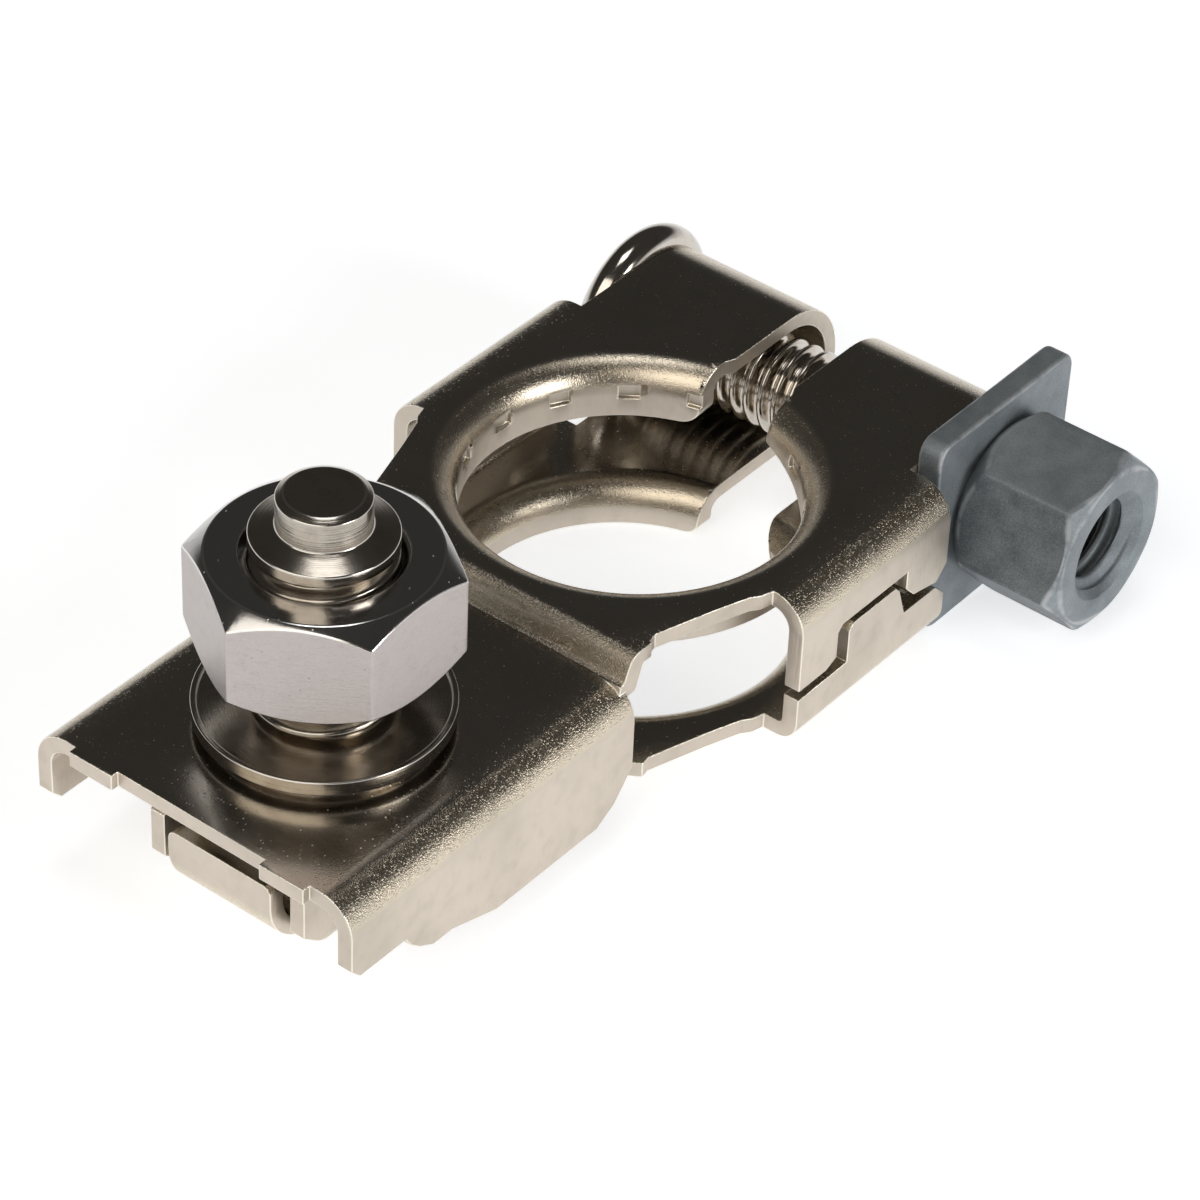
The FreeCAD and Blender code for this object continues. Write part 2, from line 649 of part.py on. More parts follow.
# Bore: the hole in both plates, then the two collars drawn down from its edge
flare_foot = dim.bore_radius + dim.flare_radius
back_radius = flare_foot - dim.collar_back
bore = clamp.sketch("XY_Plane", "bore_outline", circles=[(flare_foot,)])
clamp.pocket("bore_hole", bore, dim.ring_top * 3, midplane=True)


def collar_loop(plate_top, rim):
    """Outline of a drawn collar: the sheet turns down through the flare."""
    flare_centre = (flare_foot, plate_top - dim.flare_radius)
    back_centre = (flare_foot, plate_top - dim.sheet - back_radius)
    return [
        (dim.bore_radius, rim),
        (dim.collar_back, rim),
        (dim.collar_back, back_centre[1]),
        (flare_foot, plate_top - dim.sheet, back_centre, RIGHT_TURN),
        (flare_foot, plate_top),
        (dim.bore_radius, flare_centre[1], flare_centre, LEFT_TURN),
    ]


upper_collar = clamp.sketch("XZ_Plane", "upper_collar_outline", [collar_loop(dim.ring_top, dim.upper_rim_z)])
clamp.turned("upper_collar", upper_collar, "Z_Axis")
lower_collar = clamp.sketch("XZ_Plane", "lower_collar_outline", [collar_loop(floor_top, ON_AXIS)])
clamp.turned("lower_collar", lower_collar, "Z_Axis")
half_groove = dim.groove_width / 2
groove_loop = box_loop(dim.bore_radius - dim.sheet, dim.bore_radius + dim.groove_depth,
                       -half_groove, half_groove)
groove = clamp.sketch("XY_Plane", "groove_outline", [groove_loop], level=dim.groove_top_z,
                      turn=dim.groove_turn)
clamp.pocket("bore_groove", groove, dim.groove_top_z - dim.groove_foot_z)
clamp.repeat("bore_grooves", "Z_Axis", dim.groove_count)

# Seam between the half walls of the upper and the lower plate
seam_loop = [
    (dim.gap_front_y, dim.gap_low_z),
    (dim.tongue_front_y, dim.gap_low_z),
    (dim.tongue_front_y, dim.tongue_top_z - dim.tongue_round),
    (dim.tongue_front_y + dim.tongue_round, dim.tongue_top_z),
    (dim.tongue_rear_y - dim.tongue_round, dim.tongue_top_z),
    (dim.tongue_rear_y, dim.tongue_top_z - dim.tongue_round),
    (dim.hook_rear_y, dim.gap_rear_low_z),
    (dim.wall_rear_y - dim.wall_round, dim.gap_rear_low_z),
    (dim.gap_rear_y, dim.gap_rear_low_z - dim.wall_round * 1.5),
    (dim.gap_rear_y, dim.gap_high_z + dim.wall_round * 1.5),
    (dim.wall_rear_y - dim.wall_round, dim.gap_high_z),
    (dim.hook_foot_y, dim.hook_foot_z),
    (dim.hook_rear_y, dim.hook_side_z),
    (dim.hook_rear_y, dim.hook_high_z),
    (dim.hook_front_y + dim.tongue_round, dim.hook_high_z),
    (dim.hook_front_y, dim.hook_high_z - dim.tongue_round),
    (dim.hook_front_y, dim.gap_high_z + dim.tongue_round),
    (dim.hook_front_y - dim.wall_round, dim.gap_high_z),
    (dim.gap_front_y, dim.gap_high_z),
]
seam = clamp.sketch("YZ_Plane", "seam_outline", [seam_loop])
clamp.pocket("wall_seams", seam, dim.ring_half * 3, midplane=True)

# Slit between the two ears, opening at the bore
beyond = dim.fold_y + (dim.ring_top - dim.ring_base)
inside = dim.bore_radius - dim.flare_radius
slit_loop = box_loop(-dim.slit_half, dim.slit_half, inside, beyond)
slit = clamp.sketch("XY_Plane", "slit_outline", [slit_loop])
clamp.pocket("ear_slit", slit, dim.ring_top * 3, midplane=True)
mouth_half = [
    (dim.slit_mouth_half, inside),
    (dim.slit_mouth_half, dim.slit_mouth_y),
    (dim.slit_half, dim.slit_throat_y),
]
mouth = clamp.sketch("XY_Plane", "slit_mouth", [both_sides(mouth_half)], level=dim.ring_top)
clamp.pocket("slit_mouth_cut", mouth, dim.ring_top - dim.upper_rim_z + dim.sheet)
upper_end = edge_at("y", left_only=True, x=dim.slit_mouth_half, z=dim.upper_rim_z)
clamp.fillet("upper_rim_corner_cut", dim.upper_rim_corner, upper_end)
lower_end = edge_at("y", left_only=True, x=dim.slit_half, z=ON_AXIS)
clamp.fillet("lower_rim_corner_cut", dim.lower_rim_corner, lower_end)
upper_trim = [
    (dim.slit_half, dim.upper_rim_z - dim.sheet),
    (dim.upper_trim_x, dim.upper_rim_z - dim.sheet),
    (dim.upper_trim_x, dim.upper_rim_z),
    (dim.slit_half, dim.upper_trim_z),
]
lower_trim = [
    (ON_AXIS, -dim.sheet),
    (dim.lower_trim_x, -dim.sheet),
    (dim.lower_trim_x, ON_AXIS),
    (dim.slit_half, dim.lower_trim_z),
    (ON_AXIS, dim.lower_trim_z),
]
trim_y = inside - dim.flare_radius
trim = clamp.sketch("XZ_Plane", "collar_ends", [upper_trim, lower_trim], level=-trim_y)
clamp.pocket("collar_end_trim", trim, flare_foot - trim_y)

# Holes that hold the cable stud
socket_half = dim.stud_square / 2 + dim.fixed_gap
socket_loop = box_loop(-socket_half, socket_half, dim.stud_y - socket_half, dim.stud_y + socket_half)
socket = clamp.sketch("XY_Plane", "socket_outline", [socket_loop], level=dim.tail_top)
clamp.pocket("stud_socket", socket, dim.sheet)
tenon_hole_radius = dim.tenon_radius + dim.fixed_gap
tenon_hole = clamp.sketch("XY_Plane", "tenon_hole_outline", level=tray_floor,
                          circles=[(tenon_hole_radius, ON_AXIS, dim.stud_y)])
clamp.pocket("tenon_hole", tenon_hole, dim.sheet)
clamp.chamfer("tenon_sink", dim.rivet_sink, bore_edge(tenon_hole_radius, dim.tray_base))

# Cable stud: square body and tenon below the tail, foot, seat disc, thread and turned tip above it
stud = Piece("cable_stud", place=(ON_AXIS, dim.stud_y, ON_AXIS))
disc_base = dim.tail_top + dim.pedestal_height
disc_top = disc_base + dim.disc_height
disc_inner = dim.disc_radius - dim.disc_rim
stud_loop = [
    (ON_AXIS, dim.tail_top),
    (dim.pedestal_radius, dim.tail_top),
    (dim.pedestal_radius, disc_base),
    (dim.disc_radius, disc_base),
    (dim.disc_radius, disc_top),
    (disc_inner, disc_top),
    (disc_inner, disc_top - dim.disc_rim_height),
    (dim.stud_radius, disc_top - dim.disc_rim_height),
    (dim.stud_radius, dim.stud_thread_end),
    (dim.stud_tip_radius, dim.stud_cone_end),
    (dim.stud_tip_radius, dim.stud_tip_edge),
    (dim.stud_tip_flat, dim.stud_tip_end),
    (ON_AXIS, dim.stud_tip_end),
]
stud.turned("stud_turning", stud.sketch("XZ_Plane", "stud_outline", [stud_loop]), "Z_Axis")
square_half = dim.stud_square / 2
square_loop = box_loop(-square_half, square_half, -square_half, square_half)
square = stud.sketch("XY_Plane", "square_outline", [square_loop], level=tray_floor)
stud.pad("square_body", square, dim.tail_top - tray_floor)
for letter, other in (("x", "y"), ("y", "x")):
    lower_edge = edge_at(letter, **{other: square_half, "z": tray_floor})
    stud.chamfer(f"square_chamfer_{letter}", dim.stud_square_chamfer, lower_edge)
tenon_loop = [
    (ON_AXIS, dim.tray_base),
    (dim.tenon_radius + dim.rivet_sink, dim.tray_base),
    (dim.tenon_radius, dim.tray_base + dim.rivet_sink),
    (dim.tenon_radius, tray_floor),
    (ON_AXIS, tray_floor),
]
stud.turned("tenon", stud.sketch("XZ_Plane", "tenon_outline", [tenon_loop]), "Z_Axis")

# Clamp bolt: domed head, neck that fits between the ear plates, thread
bolt = Piece("clamp_bolt", place=(ON_AXIS, dim.fold_y, dim.bolt_z))
crown_x = -(dim.ear_left + dim.head_height)
rim_x = -(dim.ear_left + dim.head_edge)
rim_radius = dim.head_radius - dim.head_edge
rise = rim_x - crown_x
chord = rise * rise + rim_radius * rim_radius - dim.head_edge * dim.head_edge
dome_radius = chord / ((rise - dim.head_edge) * 2)
dome_x = crown_x + dome_radius
reach = dome_radius / (dome_radius - dim.head_edge)
join_x = dome_x + (rim_x - dome_x) * reach
join_radius = rim_radius * reach
bolt_loop = [
    (dim.bolt_end_x, ON_AXIS),
    (dim.bolt_end_x, dim.bolt_radius - dim.bolt_end_chamfer),
    (dim.bolt_end_x - dim.bolt_end_chamfer, dim.bolt_radius),
    (-dim.ear_left, dim.bolt_radius),
    (-dim.ear_left, rim_radius),
    (rim_x, dim.head_radius, (rim_x, rim_radius), LEFT_TURN),
    (join_x, join_radius, (rim_x, rim_radius), LEFT_TURN),
    (crown_x, ON_AXIS, (dome_x, ON_AXIS), LEFT_TURN),
]
bolt.turned("bolt_turning", bolt.sketch("XZ_Plane", "bolt_outline", [bolt_loop]), "X_Axis")
neck_loop = [
    (-dim.neck_flat, -dim.neck_radius),
    (ON_AXIS, -dim.neck_radius),
    (ON_AXIS, dim.neck_radius, (ON_AXIS, ON_AXIS), LEFT_TURN),
    (-dim.neck_flat, dim.neck_radius),
]
neck = bolt.sketch("YZ_Plane", "neck_outline", [neck_loop], level=-dim.ear_left)
bolt.pad("neck", neck, dim.neck_length)

# Square washer against the ends of the right-hand ear
washer = Piece("square_washer", place=(dim.ear_half, dim.fold_y, dim.bolt_z))
washer_half = dim.washer_side / 2
washer_loop = box_loop(-washer_half, washer_half, -washer_half, washer_half)
washer_outline = washer.sketch("YZ_Plane", "washer_outline", [washer_loop], [(dim.washer_hole,)])
washer.pad("plate", washer_outline, dim.washer_thickness)
washer.fillet("washer_corners", dim.washer_corner, edge_at("x", y=washer_half, z=washer_half))


def hex_loop(flats):
    """Hexagon with one corner on the first axis."""
    corner = flats / math.sqrt(3)
    points = []
    for step in range(6):
        angle = math.radians(60 * step)
        across = corner * math.cos(angle)
        up = corner * math.sin(angle) if step % 3 else ON_AXIS
        points.append((across, up))
    return points


def cone_cut(face_radius, corner_radius, face, drop, lengthwise):
    """Triangle that turns the corners of a hexagon off towards one end face."""
    over = corner_radius * 1.2
    deep = face + drop * (over - face_radius) / (corner_radius - face_radius)
    points = [(face_radius, face), (over, face), (over, deep)]
    if lengthwise:
        points = [(up, across) for across, up in points]
    return points


# Stud nut
stud_nut = Piece("stud_nut", place=(ON_AXIS, dim.stud_y, dim.stud_nut_base), axis=(0, 0, 1),
                 turn=dim.stud_nut_turn)
stud_bore = dim.stud_radius + dim.thread_gap
stud_hex = stud_nut.sketch("XY_Plane", "stud_nut_outline", [hex_loop(dim.stud_nut_flats)], [(stud_bore,)])
stud_nut.pad("stud_nut_hexagon", stud_hex, dim.stud_nut_height)
stud_corner = dim.stud_nut_flats / math.sqrt(3)
stud_cones = [
    cone_cut(dim.stud_nut_face, stud_corner, ON_AXIS, dim.stud_nut_drop, False),
    cone_cut(dim.stud_nut_face, stud_corner, dim.stud_nut_height, -dim.stud_nut_drop, False),
]
stud_cuts = stud_nut.sketch("XZ_Plane", "stud_nut_cones", stud_cones)
stud_nut.turned("stud_nut_corners", stud_cuts, "Z_Axis", adds=False)
stud_nut.chamfer("stud_nut_sink", dim.stud_nut_sink, bore_edge(stud_bore))

# Clamp nut
clamp_nut = Piece("clamp_nut", place=(dim.ear_half + dim.washer_thickness, dim.fold_y, dim.bolt_z),
                  axis=(1, 0, 0), turn=dim.clamp_nut_turn)
clamp_bore = dim.bolt_radius + dim.thread_gap
clamp_hex = clamp_nut.sketch("YZ_Plane", "clamp_nut_outline", [hex_loop(dim.clamp_nut_flats)], [(clamp_bore,)])
clamp_nut.pad("clamp_nut_hexagon", clamp_hex, dim.clamp_nut_length)
clamp_corner = dim.clamp_nut_flats / math.sqrt(3)
clamp_cones = [
    cone_cut(dim.clamp_nut_seat, clamp_corner, ON_AXIS, dim.clamp_nut_seat_drop, True),
    cone_cut(dim.clamp_nut_face, clamp_corner, dim.clamp_nut_length, -dim.clamp_nut_face_drop, True),
]
clamp_cuts = clamp_nut.sketch("XZ_Plane", "clamp_nut_cones", clamp_cones)
clamp_nut.turned("clamp_nut_corners", clamp_cuts, "X_Axis", adds=False)
clamp_nut.chamfer("clamp_nut_sink", dim.clamp_nut_sink, bore_edge(clamp_bore))

# Every object must be sound before the pieces are written
doc.recompute()
for item in doc.Objects:
    if "Invalid" in item.State or "Error" in item.State:
        raise ValueError(f"{item.Name} is in state {item.State}")
for piece in (clamp, stud, stud_nut, bolt, washer, clamp_nut):
    shape = piece.body.Shape
    if shape.isNull() or not shape.isValid() or len(shape.Solids) != 1:
        raise ValueError(f"{piece.body.Label} is not one sound solid")
    shape.exportStep(f"parts/{piece.body.Label}.step")
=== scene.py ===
"""Looks of the battery terminal clamp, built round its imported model.

Sizes in the classes are in millimetres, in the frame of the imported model, and a mesh is
turned into metres when it is made. The studio's sizes are in metres.
"""

import logging
import math
from dataclasses import dataclass, field
from enum import Enum
from typing import Any, Callable, Sequence

import bmesh
import bpy
import numpy as np
from mathutils import Matrix, Vector


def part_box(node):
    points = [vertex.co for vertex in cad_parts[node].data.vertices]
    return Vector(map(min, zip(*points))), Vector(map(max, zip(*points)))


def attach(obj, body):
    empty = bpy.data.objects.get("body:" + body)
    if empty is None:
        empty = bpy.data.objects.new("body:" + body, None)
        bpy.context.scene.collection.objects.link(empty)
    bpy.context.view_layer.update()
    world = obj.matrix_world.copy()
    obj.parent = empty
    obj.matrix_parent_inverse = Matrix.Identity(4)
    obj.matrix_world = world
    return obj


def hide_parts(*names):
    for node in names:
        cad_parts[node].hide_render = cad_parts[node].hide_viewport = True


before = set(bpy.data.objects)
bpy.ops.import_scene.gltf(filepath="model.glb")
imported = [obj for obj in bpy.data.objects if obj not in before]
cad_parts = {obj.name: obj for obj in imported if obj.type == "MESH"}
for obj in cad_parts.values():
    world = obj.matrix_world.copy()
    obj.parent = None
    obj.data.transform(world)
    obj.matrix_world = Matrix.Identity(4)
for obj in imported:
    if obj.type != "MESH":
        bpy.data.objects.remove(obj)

LOG = logging.getLogger("battery_clamp")
Grid = np.ndarray
Colour = tuple[float, float, float]
Span = tuple[float, float]
Corner = tuple[Any, Any, float]  # way along, radius and cut; the first two may vary by column
MILLI = 0.001
FULL_TURN = 2.0 * math.pi
WELD = 2e-8  # metres
NEAR_SIDE = 0.2  # a side counts while the cosine of the angle from its middle is larger
LARGEST_CUT = 0.45  # of the shorter side, for the rounding of a corner
SHORTEST = 1e-9  # keeps a side without length from dividing by zero
SKEW = Vector((1, math.sqrt(2), math.sqrt(3)))  # few points lie level across it
HIGHEST_WEIGHT = 100  # of the larger faces, in the even shading
# Attribute of the rounded edges: the plate, the turned steel and the bright nut paint an edge
# highlight there, and the zinc coating is rubbed there.
EDGE_HIGHLIGHT_AND_WEAR = "rounded_edge_highlight_and_wear"
NOISE_ROUGHNESS = 0.55
MIX_INPUTS = (0, 6, 7)  # sockets of a Mix node's share and of its two colours
MIX_COLOUR = 2  # socket of its mixed colour


class Body(Enum):
    """Bodies that a piece can ride on."""

    TERMINAL = "terminal"
    WASHER = "washer"
    CLOSING_NUT = "closing_nut"
    LUG_NUT = "lug_nut"


class Axis(Enum):
    """Direction that a turned piece's axis runs in, with the two directions across it."""

    UPRIGHT = ((0, 0, 1), (1, 0, 0), (0, 1, 0))
    CROSSWISE = ((1, 0, 0), (0, 1, 0), (0, 0, 1))


# ---------------------------------------------------------------------------
# Surfaces
# ---------------------------------------------------------------------------


@dataclass
class Shell:
    """A piece's surface while it is put together from grids of points, in millimetres."""

    points: list[Grid] = field(default_factory=list)
    faces: list[Grid] = field(default_factory=list)
    highlight_and_wear: list[Grid] = field(default_factory=list)
    count: int = 0

    def add_grid(self, points: Grid, highlight_and_wear: Grid) -> None:
        """Add a grid of quads between the rows and the columns of points.

        Args:
            points: Points of shape (rows, columns, 3).
            highlight_and_wear: How much each row lies on a rounded edge, from 0 to 1, where the
                bright finishes paint an edge highlight and the zinc coating is rubbed.
        """
        rows, columns, _ = points.shape
        number = np.arange(rows * columns).reshape(rows, columns) + self.count
        quads = np.stack([number[:-1, :-1], number[:-1, 1:], number[1:, 1:], number[1:, :-1]], -1)
        self.points.append(points.reshape(-1, 3))
        self.faces.append(quads.reshape(-1, 4))
        self.highlight_and_wear.append(np.repeat(highlight_and_wear, columns))
        self.count += rows * columns

    def build(self, name: str) -> bpy.types.Object:
        """Weld the grids into one closed mesh and put it into the scene.

        Args:
            name: Name of the piece.

        Returns:
            The new object, at the origin.
        """
        mesh = bpy.data.meshes.new(name)
        points = np.concatenate(self.points) * MILLI
        faces = np.concatenate(self.faces)
        mesh.vertices.add(len(points))
        mesh.vertices.foreach_set("co", points.astype(np.float32).ravel())
        mesh.loops.add(faces.size)
        mesh.loops.foreach_set("vertex_index", faces.astype(np.int32).ravel())
        mesh.polygons.add(len(faces))
        mesh.polygons.foreach_set("loop_start", np.arange(0, faces.size, 4, dtype=np.int32))
        mesh.update(calc_edges=True)
        layer = mesh.attributes.new(EDGE_HIGHLIGHT_AND_WEAR, "FLOAT", "POINT")
        layer.data.foreach_set("value", np.concatenate(self.highlight_and_wear).astype(np.float32))
        weld(mesh)
        item = bpy.data.objects.new(name, mesh)
        bpy.context.scene.collection.objects.link(item)
        return item


def weld(mesh: bpy.types.Mesh, distance: float = WELD) -> None:
    """Merge the points that lie together and turn all faces outwards.

    Args:
        mesh: The mesh, changed in place.
        distance: Points nearer than this are merged, in metres.
    """
    work = bmesh.new()
    work.from_mesh(mesh)
    bmesh.ops.remove_doubles(work, verts=work.verts, dist=distance)
    bmesh.ops.recalc_face_normals(work, faces=work.faces)
    work.to_mesh(mesh)
    work.free()
    mesh.validate()


def soften(path: Grid, cuts: Sequence[float], steps: int = 5,
           closed: bool = False) -> tuple[Grid, Grid]:
    """Round the corners of profiles with quadratic curves.

    Each corner is replaced by a curve that starts one cut before it and ends one cut after
    it, with the corner as its control point.

    Args:
        path: Corners of shape (corners, columns, 2), as (along, radius).
        cuts: Length cut from both sides of each corner.
        steps: Points on each curve.
        closed: Whether the profile runs back into its first corner.

    Returns:
        The rounded profile, and how much each of its rows lies on a rounded corner, which marks where
        the bright finishes paint an edge highlight and the zinc coating is rubbed.
    """
    if closed:
        before, here, after = np.roll(path, 1, 0), path, np.roll(path, -1, 0)
        wanted = np.asarray(cuts, float)
    else:
        before, here, after = path[:-2], path[1:-1], path[2:]
        wanted = np.asarray(cuts, float)[1:-1]
    lead, trail = before - here, after - here
    lead_length = np.maximum(np.linalg.norm(lead, axis=-1), SHORTEST)
    trail_length = np.maximum(np.linalg.norm(trail, axis=-1), SHORTEST)
    reach = np.minimum(wanted[:, None], LARGEST_CUT * np.minimum(lead_length, trail_length))
    start = here + lead * (reach / lead_length)[..., None]
    end = here + trail * (reach / trail_length)[..., None]
    place = np.linspace(0, 1, steps)[None, :, None, None]
    curve = ((1 - place) ** 2 * start[:, None] + 2 * place * (1 - place) * here[:, None]
             + place**2 * end[:, None])
    rows = curve.reshape(-1, *path.shape[1:])
    highlight_and_wear = np.tile(np.sin(np.linspace(0, math.pi, steps)), len(here))
    highlight_and_wear *= np.repeat(wanted > 0, steps)
    if closed:
        return np.concatenate([rows, rows[:1]]), np.append(highlight_and_wear, highlight_and_wear[0])
    return np.concatenate([path[:1], rows, path[-1:]]), np.concatenate([[0], highlight_and_wear, [0]])


def even_turn(columns: int) -> Grid:
    """Angles round a full circle, the last one on the first."""
    return np.linspace(0, FULL_TURN, columns + 1)


def sector_turn(sides: int, columns: int) -> Grid:
    """Angles round a prism, close together at its corners, from a side's middle round to it.

    Within a side the angle is half the side's turn times the sine of an even step.

    Args:
        sides: Number of sides.
        columns: Number of steps in each side.

    Returns:
        The angles in radians, the last one a full turn after the first.
    """
    step = np.linspace(-1, 1, columns + 1)[:-1]
    one = np.sin(step * math.pi / 2) * math.pi / sides
    middles = np.arange(sides) * FULL_TURN / sides
    turn = (middles[:, None] + one[None, :]).ravel()
    return np.append(turn, turn[0] + FULL_TURN)


def prism_radius(turn: Grid, sides: int, across_flats: float, blunt: float) -> Grid:
    """Radius of a prism in each direction, with blunted corners.

    The radius to a side is half the width across flats over the cosine of the angle from
    that side's middle, and the nearest sides are joined by a soft minimum.

    Args:
        turn: Directions, in radians.
        sides: Number of sides.
        across_flats: Distance between opposite sides.
        blunt: Width of the soft minimum, which grows with the rounding of the corners.

    Returns:
        One radius for each direction.
    """
    middles = np.arange(sides) * FULL_TURN / sides
    cosine = np.cos(turn[None, :] - middles[:, None])
    ahead = np.maximum(cosine, NEAR_SIDE)
    reach = np.where(cosine > NEAR_SIDE, across_flats / 2 / ahead, np.inf)
    least = reach.min(0)
    return least - blunt * np.log(np.exp(-(reach - least) / blunt).sum(0))


def rounded_square_radius(turn: Grid, half: float, corner: float) -> Grid:
    """Radius of a square with round corners in each direction.

    A ray meets a side at the half width over its larger cosine, or else the corner's circle.

    Args:
        turn: Directions, in radians.
        half: Half the width of the square.
        corner: Radius of its corners.

    Returns:
        One radius for each direction.
    """
    wide = np.maximum(np.abs(np.cos(turn)), np.abs(np.sin(turn)))
    narrow = np.minimum(np.abs(np.cos(turn)), np.abs(np.sin(turn)))
    centre = half - corner
    total = centre * (wide + narrow)
    on_corner = total + np.sqrt(np.maximum(total**2 - (2 * centre**2 - corner**2), 0))
    return np.where(half * narrow / wide <= centre, half / wide, on_corner)


@dataclass(frozen=True)
class Thread:
    """A right-hand screw thread round an axis."""

    crest: float
    pitch: float
    depth_share: float = 0.56
    crest_share: float = 0.17
    root_share: float = 0.80
    flank_curve: float = 0.35
    rows_a_turn: int = 14

    def radius(self, phase: Grid) -> Grid:
        """Radius at a phase: full at the crest, then falling along a smooth flank to the root.

        The fall is a mix of a straight line and of a curve that is level at both its ends.

        Args:
            phase: Turns from the middle of a root.

        Returns:
            One radius for each phase.
        """
        away = np.abs(2 * (phase - np.floor(phase)) - 1)
        fall = np.clip((away - self.crest_share) / (self.root_share - self.crest_share), 0, 1)
        fall += (fall * fall * (3 - 2 * fall) - fall) * self.flank_curve
        return self.crest - self.depth_share * self.pitch * fall

    def fade(self, radius: Grid, share: Grid) -> Grid:
        """Radius of a thread whose depth is only a share of the full one, where it runs out."""
        return self.crest - (self.crest - radius) * np.clip(share, 0, 1)

    def grid(self, start: float, end: float, turn: Grid,
             shape: Callable[[Grid, Grid], Grid]) -> Grid:
        """Rows that climb with the thread, held between two ends.

        A row lies at its own phase, so its way along the axis grows by one pitch in a turn.
        Spare turns below and above fill the ends, and their rows lie flat on them.

        Args:
            start: Lower end along the axis.
            end: Upper end along the axis.
            turn: Angles of the columns, in radians.
            shape: Gives the final radius from the way along and the thread's radius.

        Returns:
            Profile rows of shape (rows, columns, 2).
        """
        share = turn / FULL_TURN
        first = math.floor(start / self.pitch) - 2
        last = math.ceil(end / self.pitch) + 1
        number = np.arange(first * self.rows_a_turn, last * self.rows_a_turn + 1)
        row = number / self.rows_a_turn * self.pitch
        along = np.clip(row[:, None] + self.pitch * share[None, :], start, end)
        radius = self.radius(along / self.pitch - share[None, :])
        return np.stack([along, shape(along, radius)], -1)


def fill_columns(corners: Sequence[tuple[Any, Any]], columns: int) -> Grid:
    """Spread corners, whose parts are numbers or have one value a column, over all columns.

    Args:
        corners: Each as (along, radius).
        columns: Number of columns.

    Returns:
        An array of shape (corners, columns, 2).
    """
    rows = [[np.broadcast_to(part, (columns,)) for part in corner] for corner in corners]
    return np.array(rows, float).transpose(0, 2, 1)


@dataclass(frozen=True)
class Packed:
    """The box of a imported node, in millimetres."""

    low: Grid
    high: Grid

    @classmethod
    def of(cls, node: str) -> "Packed":
        """Read the box of a node, rounded so that the noise of its single precision goes.

        Args:
            node: Name of the node.

        Returns:
            Its box.
        """
        low, high = (np.round(np.array(corner) / MILLI, 5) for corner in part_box(node))
        return cls(low, high)

    @property
    def size(self) -> Grid:
        """Size in each direction."""
        return self.high - self.low

    @property
    def middle(self) -> Grid:
        """Middle of the box."""
        return np.round((self.low + self.high) / 2, 4)

    def length(self, axis: Axis) -> float:
        """Size along an axis."""
        return float(self.size @ axis.value[0])

    def level(self, axis: Axis) -> Grid:
        """The point on the piece's axis that is level with the frame's origin."""
        return self.middle * (1 - np.array(axis.value[0]))

    def foot(self, axis: Axis) -> Grid:
        """The point on the piece's axis where the piece starts."""
        return self.level(axis) + self.low * axis.value[0]


@dataclass
class Lathe:
    """Carries profiles round an axis into a shell."""

    shell: Shell
    turn: Grid
    origin: Grid
    axis: Axis

    def add_rows(self, rows: Grid, highlight_and_wear: Grid | None = None) -> None:
        """Carry rows round the axis.

        A point is the origin, plus its way along the axis, plus its radius across, in the
        direction that the column's angle gives.

        Args:
            rows: Profile rows of shape (rows, columns, 2), as (along, radius).
            highlight_and_wear: How much each row lies on a rounded edge, for the painted edge
                highlight of the bright finishes and the rubbed wear of the zinc coating, or nothing
                for rows off the edges.
        """
        along, right, up = (np.asarray(direction, float) for direction in self.axis.value)
        across = np.cos(self.turn)[:, None] * right + np.sin(self.turn)[:, None] * up
        points = self.origin + rows[..., :1] * along + rows[..., 1:] * across
        self.shell.add_grid(points, np.zeros(len(rows)) if highlight_and_wear is None else highlight_and_wear)

    def add_corners(self, corners: Sequence[Corner], steps: int = 5, closed: bool = False) -> None:
        """Carry a profile with softened corners round the axis.

        Args:
            corners: Each as (along, radius, cut).
            steps: Points on each corner's curve.
            closed: Whether the profile runs back into its first corner.
        """
        path = fill_columns([corner[:2] for corner in corners], len(self.turn))
        self.add_rows(*soften(path, [corner[2] for corner in corners], steps, closed))


# ---------------------------------------------------------------------------
# Finishes
# ---------------------------------------------------------------------------


class Varying:
    """A number that varies over a surface. Arithmetic on it adds Math nodes."""

    def __init__(self, board: "Board", socket: bpy.types.NodeSocket) -> None:
        """Hold the socket that gives the number."""
        self.board = board
        self.socket = socket

    def join(self, operation: str, left: Any, right: Any = None) -> "Varying":
        """Join two numbers with one Math node."""
        values = {0: left} if right is None else {0: left, 1: right}
        return self.board.node("ShaderNodeMath", {"operation": operation}, values)

    def __add__(self, other: Any) -> "Varying":
        """Sum."""
        return self.join("ADD", self, other)

    __radd__ = __add__

    def __sub__(self, other: Any) -> "Varying":
        """Difference."""
        return self.join("SUBTRACT", self, other)

    def __rsub__(self, other: Any) -> "Varying":
        """Difference from a plain number."""
        return self.join("SUBTRACT", other, self)

    def __mul__(self, other: Any) -> "Varying":
        """Product."""
        return self.join("MULTIPLY", self, other)

    __rmul__ = __mul__

    def root(self) -> "Varying":
        """Square root."""
        return self.join("SQRT", self)

    def size(self) -> "Varying":
        """Value without its sign."""
        return self.join("ABSOLUTE", self)

    def most(self, other: Any) -> "Varying":
        """The larger of two."""
        return self.join("MAXIMUM", self, other)

    def step(self, low: float, high: float) -> "Varying":
        """Rise smoothly from 0 at one value to 1 at another.

        Args:
            low: The value below which it stays 0.
            high: The value above which it stays 1.

        Returns:
            The share between them.
        """
        settings = {"interpolation_type": "SMOOTHSTEP", "clamp": True}
        values = {"Value": self, "From Min": low, "From Max": high}
        return self.board.node("ShaderNodeMapRange", settings, values)


